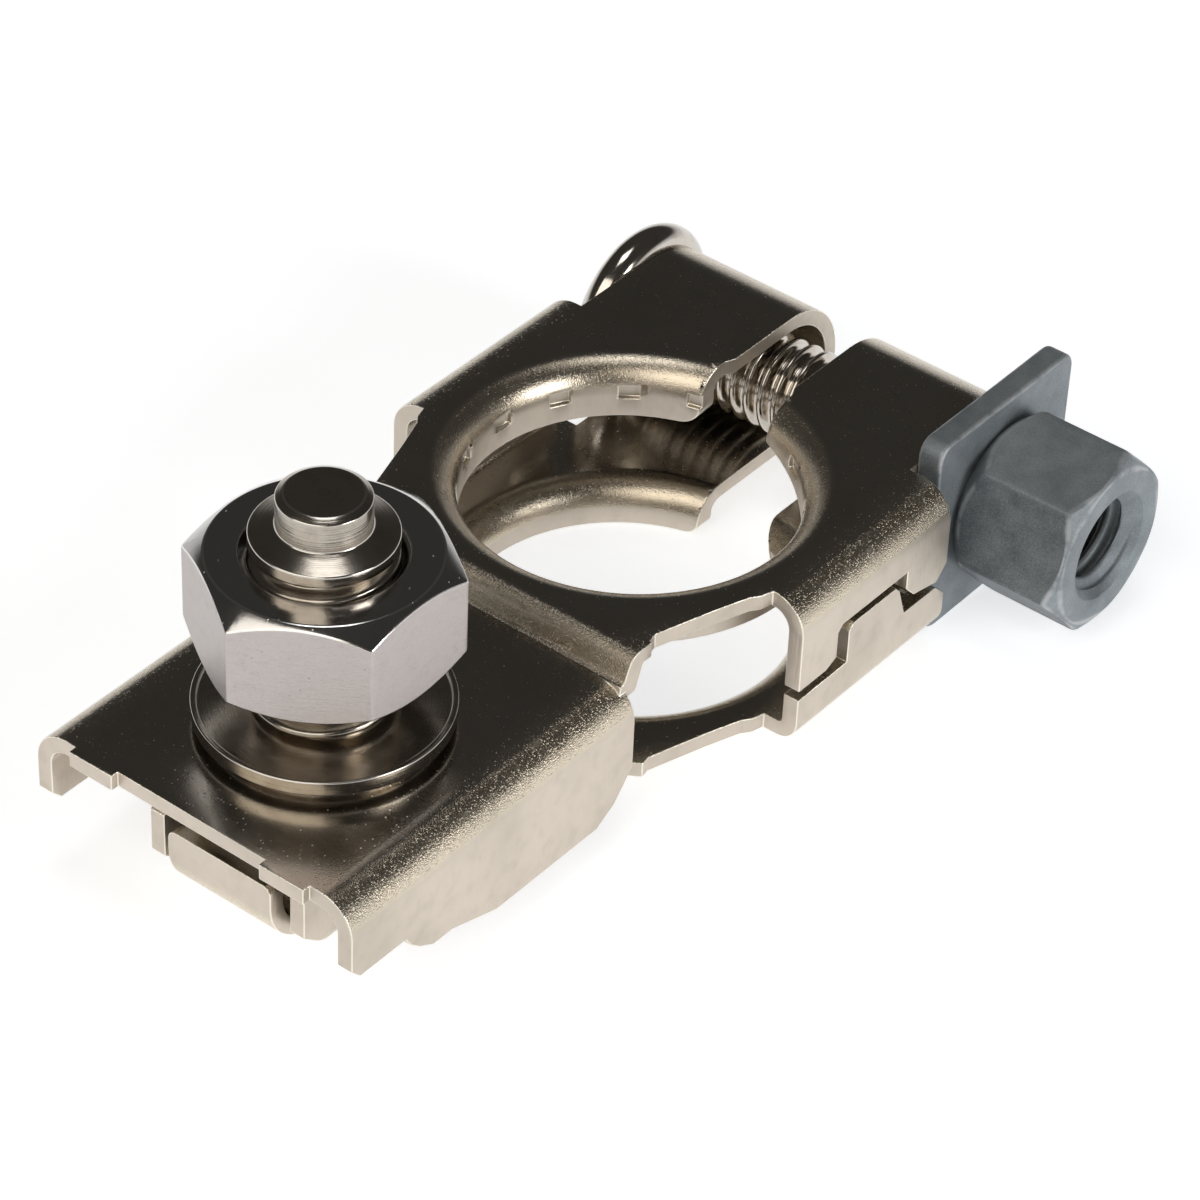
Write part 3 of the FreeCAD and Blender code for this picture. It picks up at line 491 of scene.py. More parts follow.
class Board:
    """The nodes of one material, or of the room's background."""

    def __init__(self, name: str, room: bool = False) -> None:
        """Start a material or a background with its empty shader.

        Args:
            name: Name of the material or background.
            room: Whether this is the room's background.
        """
        self.block = bpy.data.worlds.new(name) if room else bpy.data.materials.new(name)
        self.block.use_nodes = True
        self.tree = self.block.node_tree
        self.shader = self.tree.nodes["Background" if room else "Principled BSDF"]
        if not room:
            values = {0: self.node("ShaderNodeTexCoord", output="Object"), "Scale": 1 / MILLI}
            self.place = self.node("ShaderNodeVectorMath", {"operation": "SCALE"}, values)

    def node(self, kind: str, settings: dict[str, Any] | None = None,
             values: dict[Any, Any] | None = None, output: Any = 0) -> Varying:
        """Add a node.

        Args:
            kind: Type of the node.
            settings: Its own settings, set before its sockets.
            values: Values or links of its input sockets, by name or number.
            output: Name or number of the output that is wanted.

        Returns:
            The output, wrapped for more expressions.
        """
        made = self.tree.nodes.new(kind)
        for key, value in (settings or {}).items():
            setattr(made, key, value)
        for key, value in (values or {}).items():
            self.feed(made.inputs[key], value)
        return Varying(self, made.outputs[output])

    def feed(self, socket: bpy.types.NodeSocket, value: Any) -> None:
        """Link a varying value to a socket, or set a plain one on it.

        Args:
            socket: An input of a node.
            value: A varying value, a number, a vector or a colour.
        """
        if isinstance(value, Varying):
            self.tree.links.new(value.socket, socket)
        elif socket.type == "RGBA":
            socket.default_value = (*value, 1)
        else:
            socket.default_value = value

    def stretched(self, scale: Sequence[float]) -> Varying:
        """The place on the piece in millimetres, scaled by its own factor in each direction."""
        values = {0: self.place, 1: tuple(scale)}
        return self.node("ShaderNodeVectorMath", {"operation": "MULTIPLY"}, values)

    def noise(self, scale: float, detail: float = 2.0, place: Varying | None = None) -> Varying:
        """Soft noise about 0.5.

        Args:
            scale: Features a millimetre.
            detail: Number of finer layers.
            place: Where it is read, or nothing for the place on the piece.

        Returns:
            The noise.
        """
        values = {"Vector": place or self.place, "Scale": scale, "Detail": detail,
                  "Roughness": NOISE_ROUGHNESS}
        return self.node("ShaderNodeTexNoise", values=values)

    def cells(self, scale: float) -> tuple[Varying, Varying]:
        """Random cells.

        Args:
            scale: Cells a millimetre.

        Returns:
            The distance to the nearest centre, and a random number for each cell.
        """
        made = self.node("ShaderNodeTexVoronoi", values={"Vector": self.place, "Scale": scale})
        shade = Varying(self, made.socket.node.outputs["Color"])
        return made, self.node("ShaderNodeSeparateColor", values={0: shade})

    def spots(self, scale: float, reach: Span, chance: Span) -> Varying:
        """Spots in some of the random cells.

        Args:
            scale: Cells a millimetre.
            reach: Where a spot fades out, from its centre, in cells.
            chance: How high a cell's random number has to be for a spot.

        Returns:
            A share that is 1 in a spot.
        """
        distance, lot = self.cells(scale)
        return (1 - distance.step(*reach)) * lot.step(*chance)

    def parts(self, vector: Varying) -> tuple[Varying, Varying, Varying]:
        """The three parts of a vector."""
        made = self.node("ShaderNodeSeparateXYZ", values={0: vector})
        return tuple(Varying(self, made.socket.node.outputs[index]) for index in range(3))

    def facing(self) -> tuple[Varying, Varying, Varying]:
        """The direction that the surface faces."""
        return self.parts(self.node("ShaderNodeTexCoord", output="Normal"))

    def blend(self, share: Any, first: Any, second: Any) -> Varying:
        """A colour between two, by a share."""
        values = dict(zip(MIX_INPUTS, (share, first, second)))
        return self.node("ShaderNodeMix", {"data_type": "RGBA"}, values, MIX_COLOUR)

    def rounded_edges(self) -> Varying:
        """How much the surface lies on a rounded edge, kept with the mesh: the bright finishes paint
        an edge highlight there and the zinc coating is rubbed there.
        """
        return self.node("ShaderNodeAttribute", {"attribute_name": EDGE_HIGHLIGHT_AND_WEAR}, output="Fac")

    def bump(self, height: Varying, depth: float, strength: float = 1.0) -> Varying:
        """Tilt the surface by a height.

        Args:
            height: Height, where 1 stands for the full depth.
            depth: Full depth in millimetres.
            strength: Share of the tilt that is used.

        Returns:
            The tilted normal.
        """
        values = {"Height": height, "Distance": depth * MILLI, "Strength": strength}
        return self.node("ShaderNodeBump", values=values)

    def finish(self, **sockets: Any) -> bpy.types.Material | bpy.types.World:
        """Feed the shader's own sockets.

        Args:
            **sockets: Value of each socket, by its name with underscores for spaces.

        Returns:
            The finished material or background.
        """
        for name, value in sockets.items():
            self.feed(self.shader.inputs[name.replace("_", " ").title()], value)
        return self.block


@dataclass(frozen=True)
class PlatedSheet:
    """Nickel plate on pressed sheet: smooth flats, grainy bends, and pale walls whose paler colour is
    partly the sheared metal and partly painted light from the floor.

    A tilt is the size of the upward part of the surface's direction, 0 on a wall and 1 on a
    flat. The strip of worked metal runs along the plate's side edges, which lie at tail_half
    before the neck and at ring_half behind it, and the flare is the drawn rim of the bore.
    Scales are in features a millimetre. The lit, rough and raise values say how much each
    pattern adds to the brightness, the roughness and the height.
    """

    flat: Colour = (0.50, 0.465, 0.41)
    # Paler than the flat: partly the pale sheared metal, partly painted light from the bright floor
    # that the walls face.
    wall: Colour = (0.65, 0.58, 0.50)
    bend: Colour = (0.66, 0.58, 0.46)
    dull: Colour = (0.40, 0.36, 0.30)
    # Colour of the painted glints, also given to the flecks and to the painted highlight on the
    # rounded edges.
    spark: Colour = (1.0, 0.95, 0.84)
    wall_tilt: Span = (0.06, 0.36)
    flat_tilt: Span = (0.93, 0.995)
    back_tilt: Span = (0.1, 0.4)
    tail_half: float = 10.95
    ring_half: float = 14.6
    neck: Span = (-12.0, -4.0)
    strip_width: float = 3.6
    strip_full: float = 0.6
    strip_share: float = 0.55
    flare_end: float = 12.6
    flare_fade: float = 0.6
    smooth_share: float = 0.7
    cloud_scale: float = 0.9
    broad_scale: float = 0.16
    grain_scale: float = 11.0
    fleck_scale: float = 5.0
    fleck_reach: Span = (0.05, 0.38)
    fleck_chance: Span = (0.70, 1.05)
    spark_reach: Span = (0.1, 0.6)
    spark_chance: Span = (0.58, 1.05)
    streak_scale: tuple[float, float, float] = (5.5, 5.5, 0.55)
    scratch_scale: tuple[float, float, float] = (0.7, 7.0, 7.0)
    dull_broad: Span = (0.35, 0.75)
    dull_broad_share: float = 0.35
    dull_cloud: Span = (0.45, 0.8)
    dull_cloud_share: float = 0.2
    # Shares of painted brightness: glints at the sparks, the flecks, and the highlight on the rounded
    # edges.
    lit_spark: float = 0.45
    lit_fleck: float = 0.3
    painted_edge_highlight: float = 0.6
    rough_base: float = 0.11
    rough_cloud: float = 0.10
    rough_worked: float = 0.08
    rough_fleck: float = 0.2
    rough_scratch: float = 0.04
    rough_wall: float = 0.24
    rough_streak: float = 0.12
    raise_coarse: float = 0.35
    raise_worked: float = 0.15
    raise_flat: float = 0.03
    raise_spark: float = 0.6
    raise_fleck: float = 0.15
    raise_strip: float = 0.3
    raise_cloud: float = 0.08
    raise_streak: float = 0.35
    depth: float = 0.055

    def material(self) -> bpy.types.Material:
        """Build the material: worked metal is grainy, in the bends and in a strip beside them.

        Returns:
            The material.
        """
        board = Board("plated_sheet")
        x, y, _ = board.parts(board.place)
        _, back, up = board.facing()
        tilt = up.size()
        wall = 1 - tilt.step(*self.wall_tilt)
        flat = tilt.step(*self.flat_tilt)
        bend = (1 - wall) * (1 - flat)
        side = x.size() - y.step(*self.neck) * (self.ring_half - self.tail_half)
        edge = self.tail_half
        strip = side.step(edge - self.strip_width, edge - self.strip_full) * flat
        worked = bend.most(strip * self.strip_share)
        inner = 1 - (x * x + y * y).root().step(self.flare_end - self.flare_fade, self.flare_end)
        coarse = worked * (1 - inner.most(back.step(*self.back_tilt)) * self.smooth_share)
        cloud = board.noise(self.cloud_scale, detail=4)
        broad = board.noise(self.broad_scale, detail=3)
        grain = board.noise(self.grain_scale)
        fleck = board.spots(self.fleck_scale, self.fleck_reach, self.fleck_chance) * flat
        spark = board.spots(self.grain_scale, self.spark_reach, self.spark_chance) * coarse
        streak = board.noise(1, detail=3, place=board.stretched(self.streak_scale))
        scratch = board.noise(1, detail=1, place=board.stretched(self.scratch_scale))

        # Tone: wall, flat or bend, dulled in clouds, and brightened by painted glints at the sparks,
        # by the flecks and by a painted highlight on the rounded edges.
        tone = board.blend(wall, board.blend(worked, self.flat, self.bend), self.wall)
        dulled = broad.step(*self.dull_broad) * self.dull_broad_share
        dulled = dulled + cloud.step(*self.dull_cloud) * self.dull_cloud_share
        lit = spark * self.lit_spark + fleck * self.lit_fleck + board.rounded_edges() * self.painted_edge_highlight
        tone = board.blend(dulled, tone, self.dull)
        tone = board.blend(lit.step(0, 1), tone, self.spark)

        # Gloss: mirror-like flats, and pale walls that scatter along their streaks.
        rough = self.rough_base + cloud * self.rough_cloud + worked * self.rough_worked
        rough = rough + fleck * self.rough_fleck + scratch * self.rough_scratch
        rough = rough + wall * (self.rough_wall + streak * self.rough_streak)

        # Relief: the grain of worked metal with its sparks, and flecks on the flats.
        height = coarse * self.raise_coarse + worked * self.raise_worked + self.raise_flat
        height = grain * height + spark * self.raise_spark + cloud * self.raise_cloud
        height = height + fleck * (self.raise_fleck + strip * self.raise_strip)
        height = height + streak * wall * self.raise_streak
        normal = board.bump(height, self.depth)
        return board.finish(base_color=tone, metallic=1.0, roughness=rough, normal=normal)


@dataclass(frozen=True)
class TurnedMetal:
    """Plated steel with the rings that a lathe leaves round an axis."""

    name: str
    tone: Colour
    deep: Colour
    axis: Axis
    roughness: float
    ring_scale: float
    depth: float
    mottle: float
    cloud_scale: float = 0.8
    cloud_span: Span = (0.35, 0.75)
    ring_span: Span = (0.5, 0.8)
    # Colour of the painted highlight on the rounded edges.
    shine: Colour = (0.97, 0.95, 0.90)
    painted_edge_highlight_share: float = 0.5
    rough_cloud: float = 0.06
    rough_ring: float = 0.05
    raise_cloud: float = 0.3

    def material(self, middle: Grid) -> bpy.types.Material:
        """Build the material: the rings depend on the radius and on the way along only.

        Args:
            middle: Middle of the piece, which its axis runs through.

        Returns:
            The material.
        """
        board = Board(self.name)
        x, y, z = board.parts(board.place)
        if self.axis is Axis.UPRIGHT:
            along, first, second = z, x - middle[0], y - middle[1]
        else:
            along, first, second = x, y - middle[1], z - middle[2]
        radius = (first * first + second * second).root()
        place = board.node("ShaderNodeCombineXYZ", values={0: radius, 1: along})
        ring = board.noise(self.ring_scale, detail=3, place=place)
        cloud = board.noise(self.cloud_scale, detail=4)
        mottled = (cloud.step(*self.cloud_span) + ring.step(*self.ring_span)) * self.mottle
        tone = board.blend(mottled.step(0, 1), self.tone, self.deep)
        # Painted highlight: the rounded edges are blended towards the shine colour.
        tone = board.blend(board.rounded_edges() * self.painted_edge_highlight_share, tone, self.shine)
        rough = self.roughness + cloud * self.rough_cloud + ring * self.rough_ring
        normal = board.bump(ring + cloud * self.raise_cloud, self.depth)
        return board.finish(base_color=tone, metallic=1.0, roughness=rough, normal=normal)


@dataclass(frozen=True)
class BrightNut:
    """Bright plate on a hexagon nut: dark glossy end faces and pale, faintly brushed sides."""

    tone: Colour = (0.56, 0.545, 0.53)
    side: Colour = (0.52, 0.475, 0.46)
    deep: Colour = (0.40, 0.37, 0.35)
    # Colour of the painted highlight on the rounded edges.
    shine: Colour = (0.99, 0.98, 0.96)
    painted_edge_highlight_share: float = 0.6
    side_tilt: Span = (0.15, 0.5)
    cloud_scale: float = 1.3
    cloud_span: Span = (0.45, 0.8)
    grain_scale: float = 9.0
    grain_span: Span = (0.4, 0.7)
    brush_scale: tuple[float, float, float] = (1.2, 1.2, 9.0)
    pit_scale: float = 2.4
    pit_reach: Span = (0.05, 0.16)
    pit_chance: Span = (0.72, 0.8)
    dull_grain: float = 0.25
    dull_brush: float = 0.2
    dull_cloud: float = 0.25
    dull_pit: float = 0.5
    rough_base: float = 0.11
    rough_side: float = 0.22
    rough_grain: float = 0.12
    rough_cloud: float = 0.06
    raise_cloud: float = 0.2
    raise_grain: float = 0.45
    raise_brush: float = 0.5
    sink_pit: float = 0.5
    depth: float = 0.03

    def material(self) -> bpy.types.Material:
        """Build the material: the sides are rougher than the end faces, and brushed round.

        Returns:
            The material.
        """
        board = Board("bright_nut")
        _, _, up = board.facing()
        side = 1 - up.size().step(*self.side_tilt)
        cloud = board.noise(self.cloud_scale, detail=5)
        grain = board.noise(self.grain_scale)
        brush = board.noise(1, detail=3, place=board.stretched(self.brush_scale))
        pit = board.spots(self.pit_scale, self.pit_reach, self.pit_chance)
        dull = grain.step(*self.grain_span) * self.dull_grain
        dull = side * (dull + brush.step(*self.grain_span) * self.dull_brush)
        dull = dull + cloud.step(*self.cloud_span) * self.dull_cloud + pit * self.dull_pit
        tone = board.blend(dull.step(0, 1), board.blend(side, self.tone, self.side), self.deep)
        # Painted highlight: the rounded edges are blended towards the shine colour.
        tone = board.blend(board.rounded_edges() * self.painted_edge_highlight_share, tone, self.shine)
        rough = side * (self.rough_side + grain * self.rough_grain) + cloud * self.rough_cloud
        height = grain * self.raise_grain + brush * self.raise_brush
        height = height * side + cloud * self.raise_cloud - pit * self.sink_pit
        normal = board.bump(height, self.depth)
        return board.finish(base_color=tone, metallic=1.0, roughness=rough + self.rough_base,
                            normal=normal)


@dataclass(frozen=True)
class ZincFlake:
    """Matt grey flake coating, with painted light that makes it paler where it faces up or outwards,
    and rubbed at the edges.
    """

    tone: Colour = (0.066, 0.079, 0.092)
    # Pale colour of the flake clouds, also used for the painted light on upper and outer faces.
    pale: Colour = (0.31, 0.345, 0.365)
    rubbed: Colour = (0.46, 0.47, 0.48)
    metallic: float = 0.45
    cloud_scale: float = 0.7
    cloud_wear: Span = (0.25, 0.6)
    flake_scale: float = 11.0
    broad_scale: float = 0.25
    chip_scale: float = 3.0
    chip_reach: Span = (0.05, 0.2)
    chip_chance: Span = (0.86, 0.92)
    painted_light_tilt: Span = (0.1, 0.9)
    painted_light_share: float = 0.45
    flake_span: Span = (0.4, 0.85)
    pale_cloud: float = 0.4
    pale_broad: float = 0.3
    pale_flake: float = 0.5
    rubbed_wear: float = 0.7
    rubbed_chip: float = 0.35
    rough_base: float = 0.46
    rough_flake: float = 0.12
    smooth_wear: float = 0.12
    raise_flake: float = 0.35
    raise_cloud: float = 0.5
    sink_chip: float = 0.3
    depth: float = 0.03
    strength: float = 0.8

    def material(self) -> bpy.types.Material:
        """Build the material: clouds of flakes, painted light on the faces that look up or outwards,
        and chips and rubbed edges over them.

        Returns:
            The material.
        """
        board = Board("zinc_flake")
        cloud = board.noise(self.cloud_scale, detail=4)
        flake = board.noise(self.flake_scale)
        broad = board.noise(self.broad_scale)
        chip = board.spots(self.chip_scale, self.chip_reach, self.chip_chance)
        rounded_edges = board.rounded_edges() * cloud.step(*self.cloud_wear)
        outward, _, up = board.facing()
        # Painted light: faces that look up or outwards are blended towards the pale colour, as if lit
        # from above and from that side.
        painted_top_light = up.most(outward).step(*self.painted_light_tilt) * self.painted_light_share
        clouds = cloud * self.pale_cloud + broad * self.pale_broad + flake * self.pale_flake
        share = clouds.step(*self.flake_span) * (1 - self.painted_light_share) + painted_top_light
        tone = board.blend(share, self.tone, self.pale)
        rubbed = rounded_edges * self.rubbed_wear + chip * self.rubbed_chip
        tone = board.blend(rubbed.step(0, 1), tone, self.rubbed)
        rough = self.rough_base + flake * self.rough_flake - rounded_edges * self.smooth_wear
        height = flake * self.raise_flake + cloud * self.raise_cloud - chip * self.sink_chip
        normal = board.bump(height, self.depth, self.strength)
        return board.finish(base_color=tone, metallic=self.metallic, roughness=rough, normal=normal)


def dress(item: bpy.types.Object, material: bpy.types.Material, sharp: float = 50.0) -> None:
    """Give a piece one material, and shading that follows its larger faces.

    Args:
        item: The piece.
        material: Its finish.
        sharp: Angle in degrees from which an edge stays sharp.
    """
    item.data.materials.clear()
    item.data.materials.append(material)
    item.data.polygons.foreach_set("use_smooth", np.ones(len(item.data.polygons), bool))
    item.data.set_sharp_from_angle(angle=math.radians(sharp))
    even = item.modifiers.new("even_shading", "WEIGHTED_NORMAL")
    even.keep_sharp = True
    even.weight = HIGHEST_WEIGHT


def place(item: bpy.types.Object, body: Body, node: str, slot: str) -> None:
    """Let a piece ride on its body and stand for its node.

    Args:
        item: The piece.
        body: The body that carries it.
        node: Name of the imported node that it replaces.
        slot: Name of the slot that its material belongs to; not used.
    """
    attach(item, body.value)
    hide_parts(node)
    LOG.info("%s: %d faces on %s", item.name, len(item.data.polygons), body.value)


# ---------------------------------------------------------------------------
# Pieces
# ---------------------------------------------------------------------------


@dataclass
class PressedBody:
    """The clamp body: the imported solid, its edges finely rounded as by pressing and plating.

    Angles are in degrees: an edge is rounded from the angle sharp, and neighbouring faces are
    joined up to the angle level. Points nearer than merge become one. An edge_profile of 0.5
    is a circle's arc.
    """

    edge: float = 0.06
    edge_profile: float = 0.5
    edge_steps: int = 2
    sharp: float = 28.0
    merge: float = 0.001
    level: float = 0.4

    def build(self) -> None:
        """Copy the solid, round its sharp edges, plate it and mark the rounded edges, where the plate
        paints an edge highlight.

        The points and faces are put in their order along a skew direction, so that each run
        gives the same mesh.
        """
        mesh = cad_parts["clamp_body"].data.copy()
        mesh.name = "plated_clamp_body"
        work = bmesh.new()
        work.from_mesh(mesh)
        bmesh.ops.remove_doubles(work, verts=work.verts, dist=self.merge * MILLI)
        bmesh.ops.dissolve_limit(work, angle_limit=math.radians(self.level), verts=work.verts,
                                 edges=work.edges, delimit={"NORMAL"})
        limit = math.radians(self.sharp)
        edges = [edge for edge in work.edges
                 if edge.is_manifold and edge.calc_face_angle(0) > limit]
        bmesh.ops.bevel(work, geom=edges, offset=self.edge * MILLI, offset_type="OFFSET",
                        segments=self.edge_steps, profile=self.edge_profile, affect="EDGES",
                        clamp_overlap=False, miter_outer="SHARP", material=1)
        bmesh.ops.triangulate(work, faces=work.faces)
        work.verts.sort(key=lambda vert: vert.co.dot(SKEW))
        work.faces.sort(key=lambda face: face.calc_center_median().dot(SKEW))
        work.to_mesh(mesh)
        work.free()
        # The rounded faces are marked for the painted edge highlight.
        rounded = np.zeros(len(mesh.polygons), np.int32)
        mesh.polygons.foreach_get("material_index", rounded)
        layer = mesh.attributes.new(EDGE_HIGHLIGHT_AND_WEAR, "FLOAT", "FACE")
        layer.data.foreach_set("value", rounded.astype(np.float32))
        mesh.polygons.foreach_set("material_index", np.zeros_like(rounded))
        item = bpy.data.objects.new("plated_clamp_body", mesh)
        bpy.context.scene.collection.objects.link(item)
        dress(item, PlatedSheet().material())
        place(item, Body.TERMINAL, "clamp_body", "plated_sheet")


@dataclass
class CableStud:
    """The stud that is riveted into the tail: square foot, seat disc, thread and turned tip.

    Its axis, its ends and the disc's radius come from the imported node. Heights are in the frame.
    """

    box: Packed = field(default_factory=lambda: Packed.of("cable_stud"))
    thread: Thread = Thread(crest=3.95, pitch=1.25)
    floor: float = 1.5
    tenon: float = 3.0
    rivet: float = 0.6
    square: float = 8.6
    square_blunt: float = 0.06
    square_chamfer: float = 0.7
    tail_top: float = 9.7
    foot: float = 6.2
    disc_low: float = 10.3
    disc_top: float = 11.2
    rim: float = 0.32
    rim_slope: float = 0.08
    rim_drop: float = 0.12
    thread_end: float = 22.17
    band: float = 0.62
    runout: float = 0.45
    cone_end: float = 22.58
    tip: float = 2.53
    tip_edge: float = 24.34
    tip_flat: float = 2.11
    edge: float = 0.1
    seam: float = 0.05
    disc_edges: tuple[float, float, float] = (0.14, 0.09, 0.07)
    cone_edge: float = 0.12
    tip_root: float = 0.06
    columns: int = 96
    side_columns: int = 8
    finish: TurnedMetal = TurnedMetal(
        name="stud_steel", tone=(0.47, 0.43, 0.375), deep=(0.25, 0.20, 0.15),
        axis=Axis.UPRIGHT, roughness=0.13, ring_scale=9.0, depth=0.009, mottle=0.45)

    def build(self) -> None:
        """Build the stud from its foot, its thread and its tip."""
        corners = sector_turn(4, self.side_columns)[:-1] % FULL_TURN
        turn = np.unique(np.concatenate([even_turn(self.columns), corners, [FULL_TURN]]))
        lathe = Lathe(Shell(), turn, self.box.level(Axis.UPRIGHT), Axis.UPRIGHT)
        base, disc, end = self.box.low[2], self.box.size[0] / 2, self.box.high[2]
        block = prism_radius(turn, 4, self.square, self.square_blunt)
        edge, seam, thread = self.edge, self.seam, self.thread
        seat, seat_rim = self.disc_top - self.rim_drop, disc - self.rim - self.rim_slope
        lathe.add_corners([
            (base, 0, 0), (base, self.tenon + self.rivet, edge),
            (base + self.rivet, self.tenon, edge), (self.floor, self.tenon, edge),
            (self.floor, block - self.square_chamfer, edge),
            (self.floor + self.square_chamfer, block, edge), (self.tail_top, block, seam),
            (self.tail_top, self.foot, seam), (self.disc_low, self.foot, seam),
            (self.disc_low, disc, self.disc_edges[0]), (self.disc_top, disc, self.disc_edges[1]),
            (self.disc_top, disc - self.rim, self.disc_edges[2]), (seat, seat_rim, 0),
        ])
        start = thread.radius(seat / thread.pitch - turn / FULL_TURN)
        lathe.add_corners([(seat, seat_rim, 0), (seat, start, 0)])
        band = self.thread_end - self.band
        lathe.add_rows(thread.grid(seat, band, turn, self.run_out))
        lathe.add_corners([
            (band, thread.crest, 0), (self.thread_end, thread.crest, edge),
            (self.cone_end, self.tip, self.cone_edge), (self.tip_edge, self.tip, self.tip_root),
            (end, self.tip_flat, edge), (end, 0, 0),
        ])
        item = lathe.shell.build("turned_cable_stud")
        dress(item, self.finish.material(self.box.middle))
        place(item, Body.TERMINAL, "cable_stud", "stud_steel")

    def run_out(self, along: Grid, radius: Grid) -> Grid:
        """Let the thread run out below the plain band under the cone."""
        return self.thread.fade(radius, (self.thread_end - self.band - along) / self.runout)


@dataclass
class ClampBolt:
    """The cross bolt: domed head, flatted neck and thread.

    Its axis, its ends and the head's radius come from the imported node. Ways along are in the frame.
    """

    box: Packed = field(default_factory=lambda: Packed.of("clamp_bolt"))
    thread: Thread = Thread(crest=2.95, pitch=1.0)
    seat: float = -12.05
    lip: float = 1.06
    dome: float = 14.84
    neck_end: float = -10.05
    neck: float = 3.7
    flat: float = 3.0
    flat_limit: float = 0.3
    chamfer: float = 0.6
    neck_edges: tuple[float, float] = (0.1, 0.2)
    columns: int = 96
    arc_rows: int = 24
    finish: TurnedMetal = TurnedMetal(
        name="polished_bolt", tone=(0.60, 0.56, 0.51), deep=(0.42, 0.36, 0.29),
        axis=Axis.CROSSWISE, roughness=0.07, ring_scale=5.0, depth=0.003, mottle=0.5)

    def build(self) -> None:
        """Build the bolt from its head, its neck and its thread."""
        turn = even_turn(self.columns)
        lathe = Lathe(Shell(), turn, self.box.level(Axis.CROSSWISE), Axis.CROSSWISE)
        lathe.add_rows(self.head_rows(len(turn)))
        neck = np.minimum(self.neck, self.flat / np.maximum(-np.cos(turn), self.flat_limit))
        lathe.add_corners([
            (self.seat, self.box.size[1] / 2 - self.lip, 0), (self.seat, neck, self.neck_edges[0]),
            (self.neck_end, neck, self.neck_edges[1]), (self.neck_end, self.thread.crest, 0),
        ])
        end = self.box.high[0]
        helix = self.thread.grid(self.neck_end, end, turn, self.under_chamfer)
        lathe.add_rows(helix)
        lathe.add_corners([(end, helix[-1, :, 1], 0), (end, 0, 0)])
        item = lathe.shell.build("threaded_clamp_bolt")
        dress(item, self.finish.material(self.box.middle))
        place(item, Body.TERMINAL, "clamp_bolt", "polished_bolt")

    def head_rows(self, columns: int) -> Grid:
        """Rows of the head: the dome's arc from the crown, then the rounded lip's to the seat.

        Both arcs share the angle at which they meet: its tangent is the lip's radius from the
        axis over its distance from the dome's centre.

        Args:
            columns: Number of columns.

        Returns:
            Profile rows of shape (rows, columns, 2).
        """
        lip_y, lip_x = self.box.size[1] / 2 - self.lip, self.seat - self.lip
        centre = self.box.low[0] + self.dome
        join = math.atan2(lip_y, centre - lip_x)
        arc = np.linspace(0, join, self.arc_rows)
        cap = np.stack([centre - self.dome * np.cos(arc), self.dome * np.sin(arc)], -1)
        bend = np.linspace(math.pi - join, 0, self.arc_rows)
        lip = np.stack([lip_x + self.lip * np.cos(bend), lip_y + self.lip * np.sin(bend)], -1)
        return np.repeat(np.concatenate([cap, lip[1:]])[:, None], columns, axis=1)

    def under_chamfer(self, along: Grid, radius: Grid) -> Grid:
        """Hold the thread under the 45 degree chamfer at its end.

        Args:
            along: Way along the axis.
            radius: The thread's radius there.

        Returns:
            The radius, faded out at the neck and cut at the end.
        """
        plain = self.thread.fade(radius, (along - self.neck_end) / self.thread.pitch)
        return np.minimum(plain, self.thread.crest - self.chamfer + self.box.high[0] - along)


